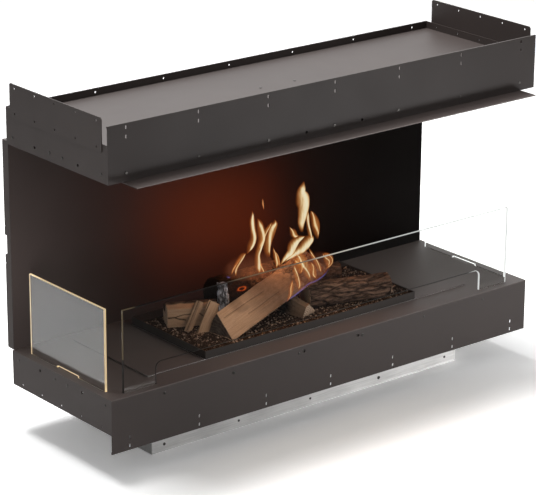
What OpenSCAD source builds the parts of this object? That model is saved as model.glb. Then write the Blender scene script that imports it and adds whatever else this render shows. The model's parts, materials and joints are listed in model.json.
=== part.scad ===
// Built-in gas fireplace, open at the front and at both ends.
// Setting-out frame: x from the centre, y back from the fascia's face, z up from the hearth's top.

/* [Casing] */
// Width over the end walls
case_w = 1300; // [1180:10:1800]
// Depth from the fascia's face to the back wall's rear face
case_d = 400; // [360:10:500]
// Height of the fire opening, hearth top to hood underside
opening_h = 510; // [420:10:700]
// Thickness of the casing's sheet
sheet_t = 2; // [1.5:0.5:3]
// Height of the folded flanges of the hearth and of the hood's floor
flange_h = 30; // [26:1:36]

/* [Hood] */
// Height of the hood's end and back walls
hood_h = 90; // [84:2:140]
// How far the hood's fascia stands above its walls
fascia_rise = 44; // [30:2:80]
// How far the top panel lies below the top of the walls
top_drop = 18; // [15:1:22]
// How far the heat deflector stands out in front of the fascia
lip_out = 50; // [30:5:80]
// How far the deflector's ends lie inside the case
lip_inset = 42; // [20:2:80]
// Thickness of the spacers between the hood and the deflector
lip_gap = 1.5; // [1:0.5:4]
// Distance from the deflector's rear edge to the back wall's rear face
lip_back = 20; // [10:5:100]
// Height of the hood's brace channel along its depth
brace_d = 30; // [24:2:50]
// Width of the hood's brace channel
brace_w = 140; // [130:10:240]

/* [Flange plates] */
// Clear distance from each end of a flange plate to the case's edge
plate_in = 20; // [10:2:30]
// Height of a flange plate
plate_h = 80; // [70:2:120]
// How far a flange plate stands above the wall
plate_rise = 60; // [50:2:66]
// Size of a flange plate's clipped corners
plate_clip = 4; // [2:1:8]

/* [Back box] */
// Thickness of the double rear wall
back_t = 25; // [22:1:60]
// How far the back box's ends lie inside the case
back_inset = 4; // [2:1:20]
// How far the back box rises above the fire opening
back_rise = 5; // [3:1:8]
// Thickness of the back box's sheet
skin_t = 1.5; // [1:0.5:2]
// Space left round the insulation board
board_gap = 12; // [10:1:20]
// Width of an angle bracket
bracket_w = 40; // [24:2:60]
// Height of the notch in the back box's rear corners
notch_z = 48; // [30:2:80]
// Depth of the notch and of its relief slits
notch_in = 8; // [4:1:12]

/* [Base] */
// Height of the base's end and back walls below the hearth's top
base_h = 86; // [70:2:120]
// How far the base's fascia reaches below the hearth's top
base_drop = 132; // [126:2:180]

/* [Glass] */
// Thickness of the panes
glass_t = 6; // [5:1:10]
// Height of the panes above the hearth
glass_h = 200; // [150:10:300]
// Distance from a pane's centre line to the case's edge
glass_in = 25; // [22:1:32]
// Distance from each end of the front pane to the case's edge
corner_gap = 50; // [40:5:80]
// Distance from a side pane's front edge to the fascia's face
side_gap_front = 55; // [50:5:80]
// Distance from a side pane's rear edge to the back wall's rear face
side_gap_back = 45; // [35:5:70]
// Width of the front pane's feet
foot_w = 93; // [60:1:150]
// Height of the front pane's air gap above the hearth
air_gap = 52; // [30:2:90]
// Corner radius of that gap
air_gap_r = 15; // [5:1:25]
// Width of a side pane's feet
side_foot_w = 108; // [60:2:116]
// Height of a side pane's gap above the hearth
side_air_gap = 3; // [2:1:20]
// How deep the panes stand below the hearth's top
glass_sink = 14; // [10:1:22]
// Play of a pane across its slot
glass_play = 1; // [0.6:0.2:2]
// Play of a pane's foot at each end of its slot
foot_play = 2; // [1:0.5:4]

/* [Burner box] */
// Distance from the fascia's face to the burner box
box_front = 77; // [74:1:90]
// Distance from the burner box to the back wall's rear face
box_back = 47; // [44:1:60]
// Distance from the burner box to the case's ends
box_end = 168; // [150:2:180]
// How far the fireplace reaches below the hearth's top
burner_drop = 203; // [180:1:300]
// Thickness of the burner box's stainless sheet
box_t = 1.5; // [1:0.5:2]
// Width of the box's rim on the hearth at its ends
rim_x = 16; // [12:1:20]
// Width of the box's rim on the hearth at the front and back
rim_y = 7; // [5:1:9]
// Play round the box in the hearth's cut-out
box_play = 2; // [1.8:0.2:3]
// How far the bottom tray stands proud of the box
base_proud = 1.5; // [0.5:0.5:1.5]
// Height of the bottom tray's upturned flanges
base_flange = 25; // [22:1:40]

/* [Fire bed] */
// Width of the tray
tray_w = 660; // [650:10:760]
// Height of the tray's walls
tray_h = 20; // [19:1:40]
// Width of the ledge along the tray's back
ledge_w = 38; // [25:1:42]
// Depth of the gravel
gravel_h = 16; // [10:1:17]
// Gap between the tray and a cover plate
cover_gap = 3; // [1:0.5:5]
// How far the tray and the covers reach past the box's rim
cover_over = 2; // [1:0.5:4]
// Height of the rim under a cover plate that drops into the box
cover_lip = 8; // [5:1:15]
// Diameter of the bark log
bark_log_d = 66; // [56:2:68]
// Diameter of the charred log at the back
back_log_d = 92; // [84:2:94]
// Diameter of the log behind the bark log
rear_log_d = 52; // [40:2:54]

/* [Gas line] */
// Outer diameter of the burner pipe
pipe_d = 25; // [20:1:27]
// Wall of the burner pipe
pipe_t = 1.5; // [1:0.5:2.5]
// Length of the burner pipe
pipe_len = 620; // [500:10:630]
// Diameter of the burner pipe's gas holes
jet_d = 2.5; // [1.5:0.5:4]
// Distance between gas holes
jet_pitch = 15; // [12:1:30]
// Outer diameter of the feed and supply pipes
feed_d = 12; // [10:1:16]
// Bore diameter of the inlet's thread
inlet_bore = 18.6; // [16:0.2:19]
// Length of the inlet's threaded bore
inlet_depth = 16; // [12:1:20]

/* [Holes and screws] */
// Distance between the columns of holes across the case
col_pitch = 200; // [180:10:220]
// Distance between the holes along the end walls
side_pitch = 80; // [70:5:80]
// Least distance from a column of holes to the case's end
col_edge = 50; // [30:5:50]
// Diameter of the fixing holes in rows
row_hole_d = 5; // [4:0.5:5.5]
// Distance from a row of fixing holes to the wall's edge
row_in = 10; // [8:0.5:10]
// Width of the cladding slots
slot_w = 5; // [4:0.5:7]
// Length of the cladding slots
slot_l = 9; // [8:0.5:9]
// Distance between the two slots of a pair
slot_gap = 21; // [14:1:30]
// Diameter of the lifting holes
lift_d = 7; // [5:0.5:8]
// Distance between the two lifting holes of a wall
lift_gap = 170; // [160:2:170]
// Height of the hood's screws above its underside
hood_fix = 20; // [17:1:22]
// Depth of the base's screws below the hearth's top
base_fix = 18; // [16:1:21]
// Shank diameter of the sheet screws
screw_d = 3; // [2.5:0.5:4]
// Head diameter of the sheet screws
head_d = 6; // [5.5:0.5:7]

/* [Hidden] */
$fn = 32;

// Finishes
paint = "#3d3735";
dark_paint = "#2a2523";
stainless = "#a5a3a0";
brass = "#b8923f";
board = "#b9b2a4";
clear = [0.75, 0.8, 0.8, 0.35];
stones = "#3a302c";
bark = "#4a3c34";
split_wood = "#8d735e";
charred = "#241f1d";

// The case's main planes
front_y = -(case_d + back_t - lip_out) / 2;
hearth_z = burner_drop;
half_w = case_w / 2;
mid_y = case_d / 2;
hood_top_z = opening_h + hood_h;
fascia_top_z = hood_top_z + fascia_rise;
panel_z = hood_top_z - top_drop;
panel_flange = 20;
cut = 1;

// Columns and rows of holes
col_n = 2 * floor((half_w - col_edge) / col_pitch) + 1;
cols = spread(col_n, col_pitch);
half_cols = spread(col_n - 1, col_pitch);
side_n = 2 * floor((mid_y - 40) / side_pitch) + 1;
side_ys = [for (y = spread(side_n, side_pitch)) mid_y + y];
side_fix_in = 25;
side_fixes = [side_fix_in, mid_y - side_fix_in, mid_y + side_fix_in, case_d - side_fix_in];
lifts = [-lift_gap / 2, lift_gap / 2];
hem = 5;
screw_play = 0.4;
head_h = 1.2;
screw_grip = 3;
hood_fix_z = opening_h + hood_fix;
lift_up = 2;

// Heat deflector
lip_half = half_w - lip_inset;
lip_reach = case_d - lip_back;
lip_z = opening_h - lip_gap - sheet_t;
lip_screw_xs = spread(4, (lip_half - 68) * 2 / 3);
lip_screw_ys = [60, lip_reach - 40];
bolt_d = 5;
bolt_play = 0.5;
bolt_head_d = 9;
bolt_head_h = 2;
nut_w = 8;
nut_h = 4;

// Hood brace, under the top panel's two screws
brace_y = mid_y + 12;
brace_xs = [-52, 52];
brace_top_z = panel_z - sheet_t;

// Back box
back_half = half_w - back_inset;
back_y = case_d + back_t;
back_top = opening_h + back_rise;
board_half = back_half - skin_t - board_gap;
angle_leg = 30;
angle_foot = back_t - 3;
bracket_xs = [for (s = [-1, 1]) for (x = [half_cols[col_n - 2], col_pitch / 2]) s * x];
foot_screw_y = case_d + angle_foot / 2 + 1;
hood_fix_back = concat(cols, bracket_xs);
slit = 2;
slit_off = 46;

// Glass slots
slot_half = (glass_t + glass_play) / 2;
channel_t = 1.5;
channel_ear = 10;
front_half = half_w - corner_gap;
side_pane_w = case_d - side_gap_front - side_gap_back;
side_pane_y = side_gap_front + side_pane_w / 2;
side_pane_x = half_w - glass_in;
front_foot_x = front_half - foot_w / 2;
side_foot_y = (side_pane_w - side_foot_w) / 2;

// Burner box
box_half = half_w - box_end;
box_y0 = box_front;
box_y1 = case_d - box_back;
burner_y = (box_y0 + box_y1) / 2;
box_foot = box_t - burner_drop;
rim_half = box_half + rim_x;
cut_half = box_half + box_play;
rim_top = box_t;
wall_half = tray_w / 2 + 6;
ledge_t = 14;
base_screw_z = 18 - burner_drop;
base_screw_xs = spread(5, (box_half - 36) / 2);
base_screw_ys = [burner_y - 90, burner_y + 90];

// Gas line
pipe_z = -16;
pipe_r = pipe_d / 2;
bridge_x = 200;
bridge_w = 36;
bridge_leg = 15;
bridge_z = pipe_z - pipe_r - 2;
valve_top = 75;
inlet_z = box_foot + valve_top - 24;
inlet_r = 13;
inlet_out = 20;
inlet_in = 12;
inlet_hex = 30;
inlet_play = 0.5;

// Controller
unit_x = -300;
unit_front = 95;
unit_size = [150, 100, 38];
unit_ear = 8;
unit_foot = 3;
unit_lid = 4;
unit_hole_d = 3.4;
unit_hole_in = 15;
vent_n = 8;
vent_pitch = 12;
vent_w = 5;
vent_x = 30;
vent_end = 20;
vent_depth = 2;

// Tray and covers
tray_half = tray_w / 2;
tray_y0 = box_y0 - rim_y - cover_over;
tray_y1 = box_y1 + rim_y + cover_over;
tray_floor = rim_top + box_t;
tray_top = rim_top + tray_h;
ledge_y = tray_y1 - ledge_w;
gravel_z = tray_floor + gravel_h;
cover_x0 = tray_half + cover_gap;
cover_x1 = rim_half + cover_over;
lip_play = 2.5;

// Logs: ends measured from the burner's centre line and from the gravel's top, on a bed of
// this width and depth. On another bed they lie closer together or further apart.
log_bed = [660, 256];
bed_d = ledge_y - tray_y0;
seat = 3;
left_log_ends = [[-293, 63, 0], [-180, 6, 0]];
left_log_section = [[-30, 0], [28, 0], [31, 14], [30, 36], [6, 54], [-26, 46]];
plank_ends = [[-241, -89, 0], [94, -43, 90]];
plank_section = [[-42, 0], [42, 0], [37, 30], [26, 48]];
plank_saw_cut = 27;
bark_log_ends = [[46, -55, 0], [262, -117, 0]];
back_log_ends = [[-150, 50, 0], [60, 68, 0]];
rear_log_ends = [[120, 85, 0], [245, 47, 0]];
cross_log_ends = [[15, -107, 0], [-12, 6, 32]];
cross_log_section = [[25, -14], [-26, -14], [-26, 8], [-2, 28], [9, 37], [20, 30]];
kindling_left_ends = [[-277, -7, 0], [-232, 3, 62]];
kindling_left_section = [[-8, -6], [8, -6], [8, 6], [-8, 6]];
kindling_split_ends = [[-257, -35, 0], [-213, -23, 65]];
kindling_split_section = [[-14, -10], [14, -10], [4, 14]];
stick_ends = [[-181, -24, 0], [-172, -6, 98]];
stick_section = [[-8, -8.5], [3, -11.5], [11, -4.5], [10.5, 5.5], [2, 11.8], [-8, 8.5], [-11.8, 0.5]];

// n places a pitch apart, centred on 0
function spread(n, pitch) = [for (i = [0 : n - 1]) (i - (n - 1) / 2) * pitch];

// Whether an angle bracket stands at this place across the case
function has_bracket(x) = len([for (b = bracket_xs) if (abs(b - x) < 1) b]) > 0;

// Where the ends of a log lie on the bed
function laid(ends) =
    [for (p = ends) [p.x * tray_w / log_bed.x, p.y * bed_d / log_bed.y, p.z]];

// The section of a split log, as much slimmer as the bed is shallower
function slimmed(section) = [for (p = section) [p.x * bed_d / log_bed.y, p.y]];

// Moves a piece from the setting-out frame to the part's own frame
module placed() {
    translate([0, front_y, hearth_z]) children();
}

module block(low, high) {
    translate(low) cube(high - low);
}

module mirrored() {
    mirror([1, 0, 0]) children();
}

module both_ends() {
    children();
    mirrored() children();
}

// Round holes through a sheet, along each axis
module hole_y(x, z, d, y0, y1) {
    translate([x, y0 - cut, z]) rotate([-90, 0, 0]) cylinder(h = y1 - y0 + 2 * cut, d = d);
}

module hole_x(y, z, d, x0, x1) {
    translate([x0 - cut, y, z]) rotate([0, 90, 0]) cylinder(h = x1 - x0 + 2 * cut, d = d);
}

module hole_z(x, y, d, z0, z1) {
    translate([x, y, z0 - cut]) cylinder(h = z1 - z0 + 2 * cut, d = d);
}

// An upright slot through a sheet that faces the front
module slot_y(x, z, y0, y1) {
    rise = (slot_l - slot_w) / 2;
    hole_y(x, z - rise, slot_w, y0, y1);
    hole_y(x, z + rise, slot_w, y0, y1);
    block([x - slot_w / 2, y0 - cut, z - rise], [x + slot_w / 2, y1 + cut, z + rise]);
}

// A shallow pan: a flat panel with a flange along each side, up or down from it
module pan(half, y0, y1, z0, z1, t, panel_below) {
    difference() {
        block([-half, y0, z0], [half, y1, z1]);
        block([t - half, y0 + t, panel_below ? z0 + t : z0 - cut],
              [half - t, y1 - t, panel_below ? z1 + cut : z1 - t]);
    }
}

// A screw whose head stands on z = 0 and whose shank runs down
module screw(grip, shank = screw_d, head = head_d, h = head_h) {
    difference() {
        rotate_extrude() polygon([
            [0, -grip], [shank / 2, -grip], [shank / 2, 0], [head / 2, 0],
            [head / 2, h * 0.5], [head * 0.36, h], [0, h]
        ]);
        translate([0, 0, h * 0.45]) cylinder(h = h, d = head * 0.4, $fn = 6);
    }
}

module screw_front(x, z, y = 0) {
    translate([x, y, z]) rotate([90, 0, 0]) screw(2 * sheet_t + screw_grip);
}

module screw_back(x, z, y = case_d) {
    translate([x, y, z]) rotate([-90, 0, 0]) screw(y - case_d + 2 * sheet_t + screw_grip);
}

module screw_right(y, z, x = half_w, grip = 2 * sheet_t + screw_grip) {
    translate([x, y, z]) rotate([0, 90, 0]) screw(grip);
}

// A fascia sheet with a hemmed outer edge and a pair of cladding slots in each column
module fascia(z0, z1, edge_z, inward, fix_xs, fix_z, lift_z) {
    hole = screw_d + screw_play;
    difference() {
        union() {
            block([-half_w, 0, z0], [half_w, sheet_t, z1]);
            block([-half_w, sheet_t, min(edge_z, edge_z + inward * hem)],
                  [half_w, 2 * sheet_t, max(edge_z, edge_z + inward * hem)]);
        }
        for (x = cols, off = [row_in, row_in + slot_gap])
            slot_y(x, edge_z + inward * off, 0, 2 * sheet_t);
        for (x = fix_xs) hole_y(x, fix_z, hole, 0, sheet_t);
        for (x = lifts) hole_y(x, lift_z, lift_d, 0, sheet_t);
    }
}

// An end wall with its screw holes, lifting holes and row of fixing holes
module end_wall(z0, z1, fix_z, lift_z, row_z) {
    hole = screw_d + screw_play;
    x0 = half_w - sheet_t;
    difference() {
        block([x0, sheet_t, z0], [half_w, case_d - sheet_t, z1]);
        for (y = side_fixes) hole_x(y, fix_z, hole, x0, half_w);
        for (y = lifts) hole_x(mid_y + y, lift_z, lift_d, x0, half_w);
        for (y = side_ys) hole_x(y, row_z, row_hole_d, x0, half_w);
    }
}

module back_wall(z0, z1, fix_xs, fix_z, row_z) {
    hole = screw_d + screw_play;
    difference() {
        block([-half_w, case_d - sheet_t, z0], [half_w, case_d, z1]);
        for (x = fix_xs) hole_y(x, fix_z, hole, case_d - sheet_t, case_d);
        for (x = cols) hole_y(x, row_z, row_hole_d, case_d - sheet_t, case_d);
    }
}

// Holes that the walls' screws and lifting points share with the flange of a pan
module flange_holes(fix_z, lift_z, front_xs, back_xs) {
    hole = screw_d + screw_play;
    for (x = front_xs) hole_y(x, fix_z, hole, sheet_t, 2 * sheet_t);
    for (x = lifts) hole_y(x, lift_z, lift_d, sheet_t, 2 * sheet_t);
    for (x = back_xs) hole_y(x, fix_z, hole, case_d - 2 * sheet_t, case_d - sheet_t);
    both_ends() {
        for (y = side_fixes) hole_x(y, fix_z, hole, half_w - 2 * sheet_t, half_w - sheet_t);
        for (y = lifts) hole_x(mid_y + y, lift_z, lift_d, half_w - 2 * sheet_t, half_w - sheet_t);
    }
}

// Hood

module hood_fascia() {
    color(paint) placed()
        fascia(opening_h, fascia_top_z, fascia_top_z, -1, cols, hood_fix_z, hood_fix_z - lift_up);
}

module hood_side_right() {
    color(paint) placed()
        end_wall(opening_h, hood_top_z, hood_fix_z, hood_fix_z - lift_up, hood_top_z - row_in);
}

module hood_side_left() {
    mirrored() hood_side_right();
}

module hood_back() {
    color(paint) placed()
        back_wall(opening_h, hood_top_z, hood_fix_back, hood_fix_z, hood_top_z - row_in);
}

module hood_ceiling() {
    color(dark_paint) placed() difference() {
        pan(half_w - sheet_t, sheet_t, case_d - sheet_t, opening_h, opening_h + flange_h,
            sheet_t, true);
        flange_holes(hood_fix_z, hood_fix_z - lift_up, cols, hood_fix_back);
        for (x = lip_screw_xs, y = lip_screw_ys)
            hole_z(x, y, bolt_d + bolt_play, opening_h, opening_h + sheet_t);
    }
}

module hood_top() {
    color(paint) placed() difference() {
        pan(half_w - sheet_t, sheet_t, case_d - sheet_t, panel_z - panel_flange, panel_z,
            sheet_t, false);
        for (x = brace_xs) hole_z(x, brace_y, screw_d + screw_play, panel_z - sheet_t, panel_z);
    }
}

module hood_brace() {
    z0 = opening_h + sheet_t;
    y0 = brace_y - brace_d / 2;
    color(dark_paint) placed() difference() {
        block([-brace_w / 2, y0, z0], [brace_w / 2, y0 + brace_d, brace_top_z]);
        block([-brace_w / 2 - cut, y0 + sheet_t, z0 + sheet_t],
              [brace_w / 2 + cut, y0 + brace_d + cut, brace_top_z - sheet_t]);
        for (x = brace_xs)
            hole_z(x, brace_y, screw_d + screw_play, brace_top_z - sheet_t, brace_top_z);
    }
}

module flange_plate_right() {
    z1 = hood_top_z + plate_rise;
    y0 = plate_in;
    y1 = case_d - plate_in;
    z0 = z1 - plate_h;
    c = plate_clip;
    color(paint) placed() difference() {
        translate([half_w, 0, 0]) rotate([90, 0, 90]) linear_extrude(sheet_t) polygon([
            [y0 + c, z0], [y1 - c, z0], [y1, z0 + c], [y1, z1 - c],
            [y1 - c, z1], [y0 + c, z1], [y0, z1 - c], [y0, z0 + c]
        ]);
        for (y = side_ys, z = [hood_top_z - row_in, z1 - row_in])
            hole_x(y, z, row_hole_d, half_w, half_w + sheet_t);
    }
}

module flange_plate_left() {
    mirrored() flange_plate_right();
}

module heat_deflector() {
    color(paint) placed() difference() {
        block([-lip_half, -lip_out, lip_z], [lip_half, lip_reach, lip_z + sheet_t]);
        for (x = lip_screw_xs, y = lip_screw_ys)
            hole_z(x, y, bolt_d + bolt_play, lip_z, lip_z + sheet_t);
    }
}

module deflector_spacers() {
    color(stainless) placed() for (x = lip_screw_xs, y = lip_screw_ys) difference() {
        translate([x, y, lip_z + sheet_t]) cylinder(h = lip_gap, d = 14);
        hole_z(x, y, bolt_d + bolt_play, lip_z + sheet_t, opening_h);
    }
}

module deflector_screws() {
    grip = 2 * sheet_t + lip_gap + nut_h + 1;
    color(stainless) placed() for (x = lip_screw_xs, y = lip_screw_ys)
        translate([x, y, lip_z]) rotate([180, 0, 0]) screw(grip, bolt_d, bolt_head_d, bolt_head_h);
}

module deflector_nuts() {
    z0 = opening_h + sheet_t;
    color(stainless) placed() for (x = lip_screw_xs, y = lip_screw_ys) difference() {
        translate([x, y, z0]) cylinder(h = nut_h, d = nut_w / cos(30), $fn = 6);
        hole_z(x, y, bolt_d + 0.1, z0, z0 + nut_h);
    }
}

module hood_screws() {
    color(dark_paint) placed() {
        for (x = cols) {
            screw_front(x, hood_fix_z);
            screw_back(x, hood_fix_z);
        }
        both_ends() for (y = side_fixes) screw_right(y, hood_fix_z);
        for (x = brace_xs)
            translate([x, brace_y, panel_z]) screw(2 * sheet_t + screw_grip);
    }
}

// Back box

module back_skin() {
    color(dark_paint) placed()
        block([-back_half, case_d, 0], [back_half, case_d + skin_t, back_top]);
}

module back_insulation() {
    color(board) placed() block([-board_half, case_d + skin_t, board_gap],
                                [board_half, back_y - skin_t, back_top - board_gap]);
}

module back_shell() {
    mid_z = back_top / 2;
    hole = screw_d + screw_play;
    color(paint) placed() difference() {
        block([-back_half, case_d + skin_t, 0], [back_half, back_y, back_top]);
        block([skin_t - back_half, case_d, skin_t],
              [back_half - skin_t, back_y - skin_t, back_top - skin_t]);
        both_ends() {
            block([back_half - notch_in, back_y - notch_in, mid_z - notch_z / 2],
                  [back_half + cut, back_y + cut, mid_z + notch_z / 2]);
            for (s = [-1, 1])
                block([back_half - skin_t - cut, back_y - notch_in, mid_z + s * slit_off - slit / 2],
                      [back_half + cut, back_y + cut, mid_z + s * slit_off + slit / 2]);
        }
        for (x = bracket_xs) {
            hole_z(x, foot_screw_y, hole, 0, skin_t);
            hole_z(x, foot_screw_y, hole, back_top - skin_t, back_top);
        }
    }
}

// An angle with one leg down the wall below z = 0 and one foot under the box
module angle_bracket(fix_drop) {
    hole = screw_d + screw_play;
    difference() {
        union() {
            block([-bracket_w / 2, case_d, -angle_leg], [bracket_w / 2, case_d + sheet_t, 0]);
            block([-bracket_w / 2, case_d, -sheet_t], [bracket_w / 2, case_d + angle_foot, 0]);
        }
        hole_y(0, -fix_drop, hole, case_d, case_d + sheet_t);
        hole_z(0, foot_screw_y, hole, -sheet_t, 0);
    }
}

module back_brackets_lower() {
    color(stainless) placed() for (x = bracket_xs) translate([x, 0, 0]) angle_bracket(base_fix);
}

module back_brackets_upper() {
    color(stainless) placed() for (x = bracket_xs)
        translate([x, 0, back_top]) mirror([0, 0, 1]) angle_bracket(hood_fix - back_rise);
}

module back_screws() {
    foot_grip = sheet_t + skin_t + screw_grip;
    color(dark_paint) placed() for (x = bracket_xs) {
        screw_back(x, hood_fix_z, case_d + sheet_t);
        screw_back(x, -base_fix, case_d + sheet_t);
        translate([x, foot_screw_y, -sheet_t]) rotate([180, 0, 0]) screw(foot_grip);
        translate([x, foot_screw_y, back_top + sheet_t]) screw(foot_grip);
    }
}

// Base

// The hearth, welded from four folded sheets: two ends, and two strips between them
module hearth_solid() {
    z0 = -flange_h;
    difference() {
        union() {
            block([-half_w, 0, -sheet_t], [half_w, case_d, 0]);
            pan(half_w - sheet_t, sheet_t, case_d - sheet_t, z0, 0, sheet_t, false);
        }
        block([-cut_half, box_y0 - box_play, -sheet_t - cut], [cut_half, box_y1 + box_play, cut]);
        both_ends() {
            foot_slot(front_foot_x, glass_in, foot_w, 0);
            for (s = [-1, 1])
                foot_slot(side_pane_x, side_pane_y + s * side_foot_y, side_foot_w, 90);
        }
        flange_holes(-base_fix, lift_up - base_fix, half_cols, half_cols);
    }
}

module hearth_ends() {
    color(paint) placed() intersection() {
        hearth_solid();
        both_ends()
            block([cut_half, -cut, -flange_h - cut], [half_w + cut, case_d + cut, cut]);
    }
}

module hearth_strips() {
    color(paint) placed() intersection() {
        hearth_solid();
        block([-cut_half, -cut, -flange_h - cut], [cut_half, case_d + cut, cut]);
    }
}

// A slot through the hearth for one foot of a pane
module foot_slot(x, y, w, turn) {
    translate([x, y, 0]) rotate([0, 0, turn])
        block([-w / 2 - foot_play, -slot_half, -sheet_t - cut], [w / 2 + foot_play, slot_half, cut]);
}

module base_fascia() {
    color(paint) placed()
        fascia(-base_drop, -sheet_t, -base_drop, 1, half_cols, -base_fix, lift_up - base_fix);
}

module base_side_right() {
    color(paint) placed()
        end_wall(-base_h, -sheet_t, -base_fix, lift_up - base_fix, row_in - base_h);
}

module base_side_left() {
    mirrored() base_side_right();
}

module base_back() {
    color(paint) placed() back_wall(-base_h, -sheet_t, half_cols, -base_fix, row_in - base_h);
}

module base_screws() {
    color(dark_paint) placed() {
        for (x = half_cols) screw_front(x, -base_fix);
        for (x = half_cols) if (!has_bracket(x)) screw_back(x, -base_fix);
        both_ends() for (y = side_fixes) screw_right(y, -base_fix);
    }
}

// A trough under the hearth, along x, that one foot of a pane stands in
module glass_channel(w) {
    floor_z = -glass_sink;
    wall = slot_half + channel_t;
    translate([-w / 2 - foot_play, 0, 0]) rotate([90, 0, 90])
        linear_extrude(w + 2 * foot_play) difference() {
            union() {
                translate([-wall, floor_z - channel_t])
                    square([2 * wall, glass_sink + channel_t - sheet_t]);
                translate([-wall - channel_ear, -sheet_t - channel_t])
                    square([2 * (wall + channel_ear), channel_t]);
            }
            translate([-slot_half, floor_z]) square([2 * slot_half, glass_sink]);
        }
}

module glass_channels_front() {
    color(stainless) placed() both_ends()
        translate([front_foot_x, glass_in, 0]) glass_channel(foot_w);
}

module glass_channels_side() {
    color(stainless) placed() both_ends() for (s = [-1, 1])
        translate([side_pane_x, side_pane_y + s * side_foot_y, 0]) rotate([0, 0, 90])
            glass_channel(side_foot_w);
}

// Burner box and what it holds

module burner_box() {
    hole = screw_d + screw_play;
    color(stainless) placed() difference() {
        block([-box_half, box_y0, box_foot], [box_half, box_y1, 0]);
        block([box_t - box_half, box_y0 + box_t, box_foot - cut],
              [box_half - box_t, box_y1 - box_t, cut]);
        for (x = base_screw_xs) hole_y(x, base_screw_z, hole, box_y0, box_y1);
        for (y = base_screw_ys) hole_x(y, base_screw_z, hole, -box_half, box_half);
        hole_y(0, inlet_z, 2 * inlet_r + inlet_play, box_y1 - box_t, box_y1);
    }
}

// The flat frame on top of the box that hangs it in the hearth
module burner_rim() {
    color(stainless) placed() difference() {
        block([-rim_half, box_y0 - rim_y, 0], [rim_half, box_y1 + rim_y, rim_top]);
        block([box_t - box_half, box_y0 + box_t, -cut],
              [box_half - box_t, box_y1 - box_t, rim_top + cut]);
    }
}

module burner_base() {
    hole = screw_d + screw_play;
    inner = box_half - box_t;
    color(stainless) placed() difference() {
        union() {
            block([-box_half - base_proud, box_y0 - base_proud, -burner_drop],
                  [box_half + base_proud, box_y1 + base_proud, box_foot]);
            pan(inner, box_y0 + box_t, box_y1 - box_t, -burner_drop, box_foot + base_flange,
                box_t, true);
        }
        for (x = base_screw_xs)
            hole_y(x, base_screw_z, hole, box_y0 + box_t, box_y1 - box_t);
        for (y = base_screw_ys) hole_x(y, base_screw_z, hole, -inner, inner);
    }
}

module burner_base_screws() {
    grip = 2 * box_t + screw_grip;
    color(dark_paint) placed() {
        for (x = base_screw_xs) {
            translate([x, box_y0, base_screw_z]) rotate([90, 0, 0]) screw(grip, h = 1);
            translate([x, box_y1, base_screw_z]) rotate([-90, 0, 0]) screw(grip, h = 1);
        }
        both_ends() for (y = base_screw_ys)
            translate([box_half, y, base_screw_z]) rotate([0, 90, 0]) screw(grip, h = 1);
    }
}

// Two walls with a T-shaped top, which the tray and the covers rest on
module box_partitions() {
    y0 = box_y0 + box_t;
    y1 = box_y1 - box_t;
    color(stainless) placed() both_ends() {
        block([wall_half, y0 + box_t, box_foot], [wall_half + box_t, y1 - box_t, 0]);
        block([wall_half - ledge_t, y0, 0], [wall_half + ledge_t, y1, rim_top]);
    }
}

// Cross channels with a saddle that the burner pipe lies in
module burner_bridges() {
    y0 = box_y0 + box_t;
    y1 = box_y1 - box_t;
    color(stainless) placed() both_ends() translate([bridge_x, 0, 0]) difference() {
        union() {
            difference() {
                block([-bridge_w / 2, y0, bridge_z - bridge_leg], [bridge_w / 2, y1, bridge_z]);
                block([box_t - bridge_w / 2, y0 - cut, bridge_z - bridge_leg - cut],
                      [bridge_w / 2 - box_t, y1 + cut, bridge_z - box_t]);
            }
            block([-1.5, burner_y - pipe_r - 8, bridge_z], [1.5, burner_y + pipe_r + 8, pipe_z]);
        }
        hole_x(burner_y, pipe_z, pipe_d, -bridge_w, bridge_w);
    }
}

module burner_pipe() {
    jets = spread(2 * floor((pipe_len / 2 - 10) / jet_pitch) + 1, jet_pitch);
    color(stainless) placed() difference() {
        translate([-pipe_len / 2, burner_y, pipe_z]) rotate([0, 90, 0])
            cylinder(h = pipe_len, r = pipe_r);
        translate([3 - pipe_len / 2, burner_y, pipe_z]) rotate([0, 90, 0])
            cylinder(h = pipe_len - 6, r = pipe_r - pipe_t);
        for (x = jets) translate([x, burner_y, pipe_z]) cylinder(h = pipe_r + cut, d = jet_d);
        translate([0, burner_y, pipe_z - pipe_r - cut]) cylinder(h = pipe_r, d = feed_d - 4);
    }
}

module feed_pipe() {
    z0 = box_foot + valve_top;
    color(brass) placed() difference() {
        translate([0, burner_y, z0]) cylinder(h = pipe_z - z0, d = feed_d);
        translate([0, burner_y, z0 - cut]) cylinder(h = pipe_z - z0 + 2 * cut, d = feed_d - 4);
        hole_x(burner_y, pipe_z, pipe_d, -feed_d, feed_d);
    }
}

module gas_valve() {
    z0 = box_foot;
    color("#6f7173") placed() difference() {
        union() {
            block([-30, burner_y - 32, z0], [50, burner_y + 28, z0 + 8]);
            block([-22, burner_y - 26, z0 + 8], [22, burner_y + 24, z0 + valve_top - 8]);
            translate([0, burner_y, z0 + valve_top - 8]) cylinder(h = 8, d = feed_d + 8);
            translate([22, burner_y, z0 + 34]) rotate([0, 90, 0]) cylinder(h = 26, d = 30);
            translate([0, burner_y + 24, inlet_z]) rotate([-90, 0, 0])
                cylinder(h = 6, d = feed_d + 8);
        }
        translate([0, burner_y, z0 + valve_top - 20]) cylinder(h = 20 + cut, d = feed_d - 4);
        translate([0, burner_y + 12, inlet_z]) rotate([-90, 0, 0])
            cylinder(h = 18 + cut, d = feed_d - 4);
    }
}

module supply_pipe() {
    y0 = burner_y + 30;
    y1 = box_y1 - inlet_in - box_t;
    color(brass) placed() difference() {
        translate([0, y0, inlet_z]) rotate([-90, 0, 0]) cylinder(h = y1 - y0, d = feed_d);
        hole_y(0, inlet_z, feed_d - 4, y0, y1);
    }
}

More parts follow.
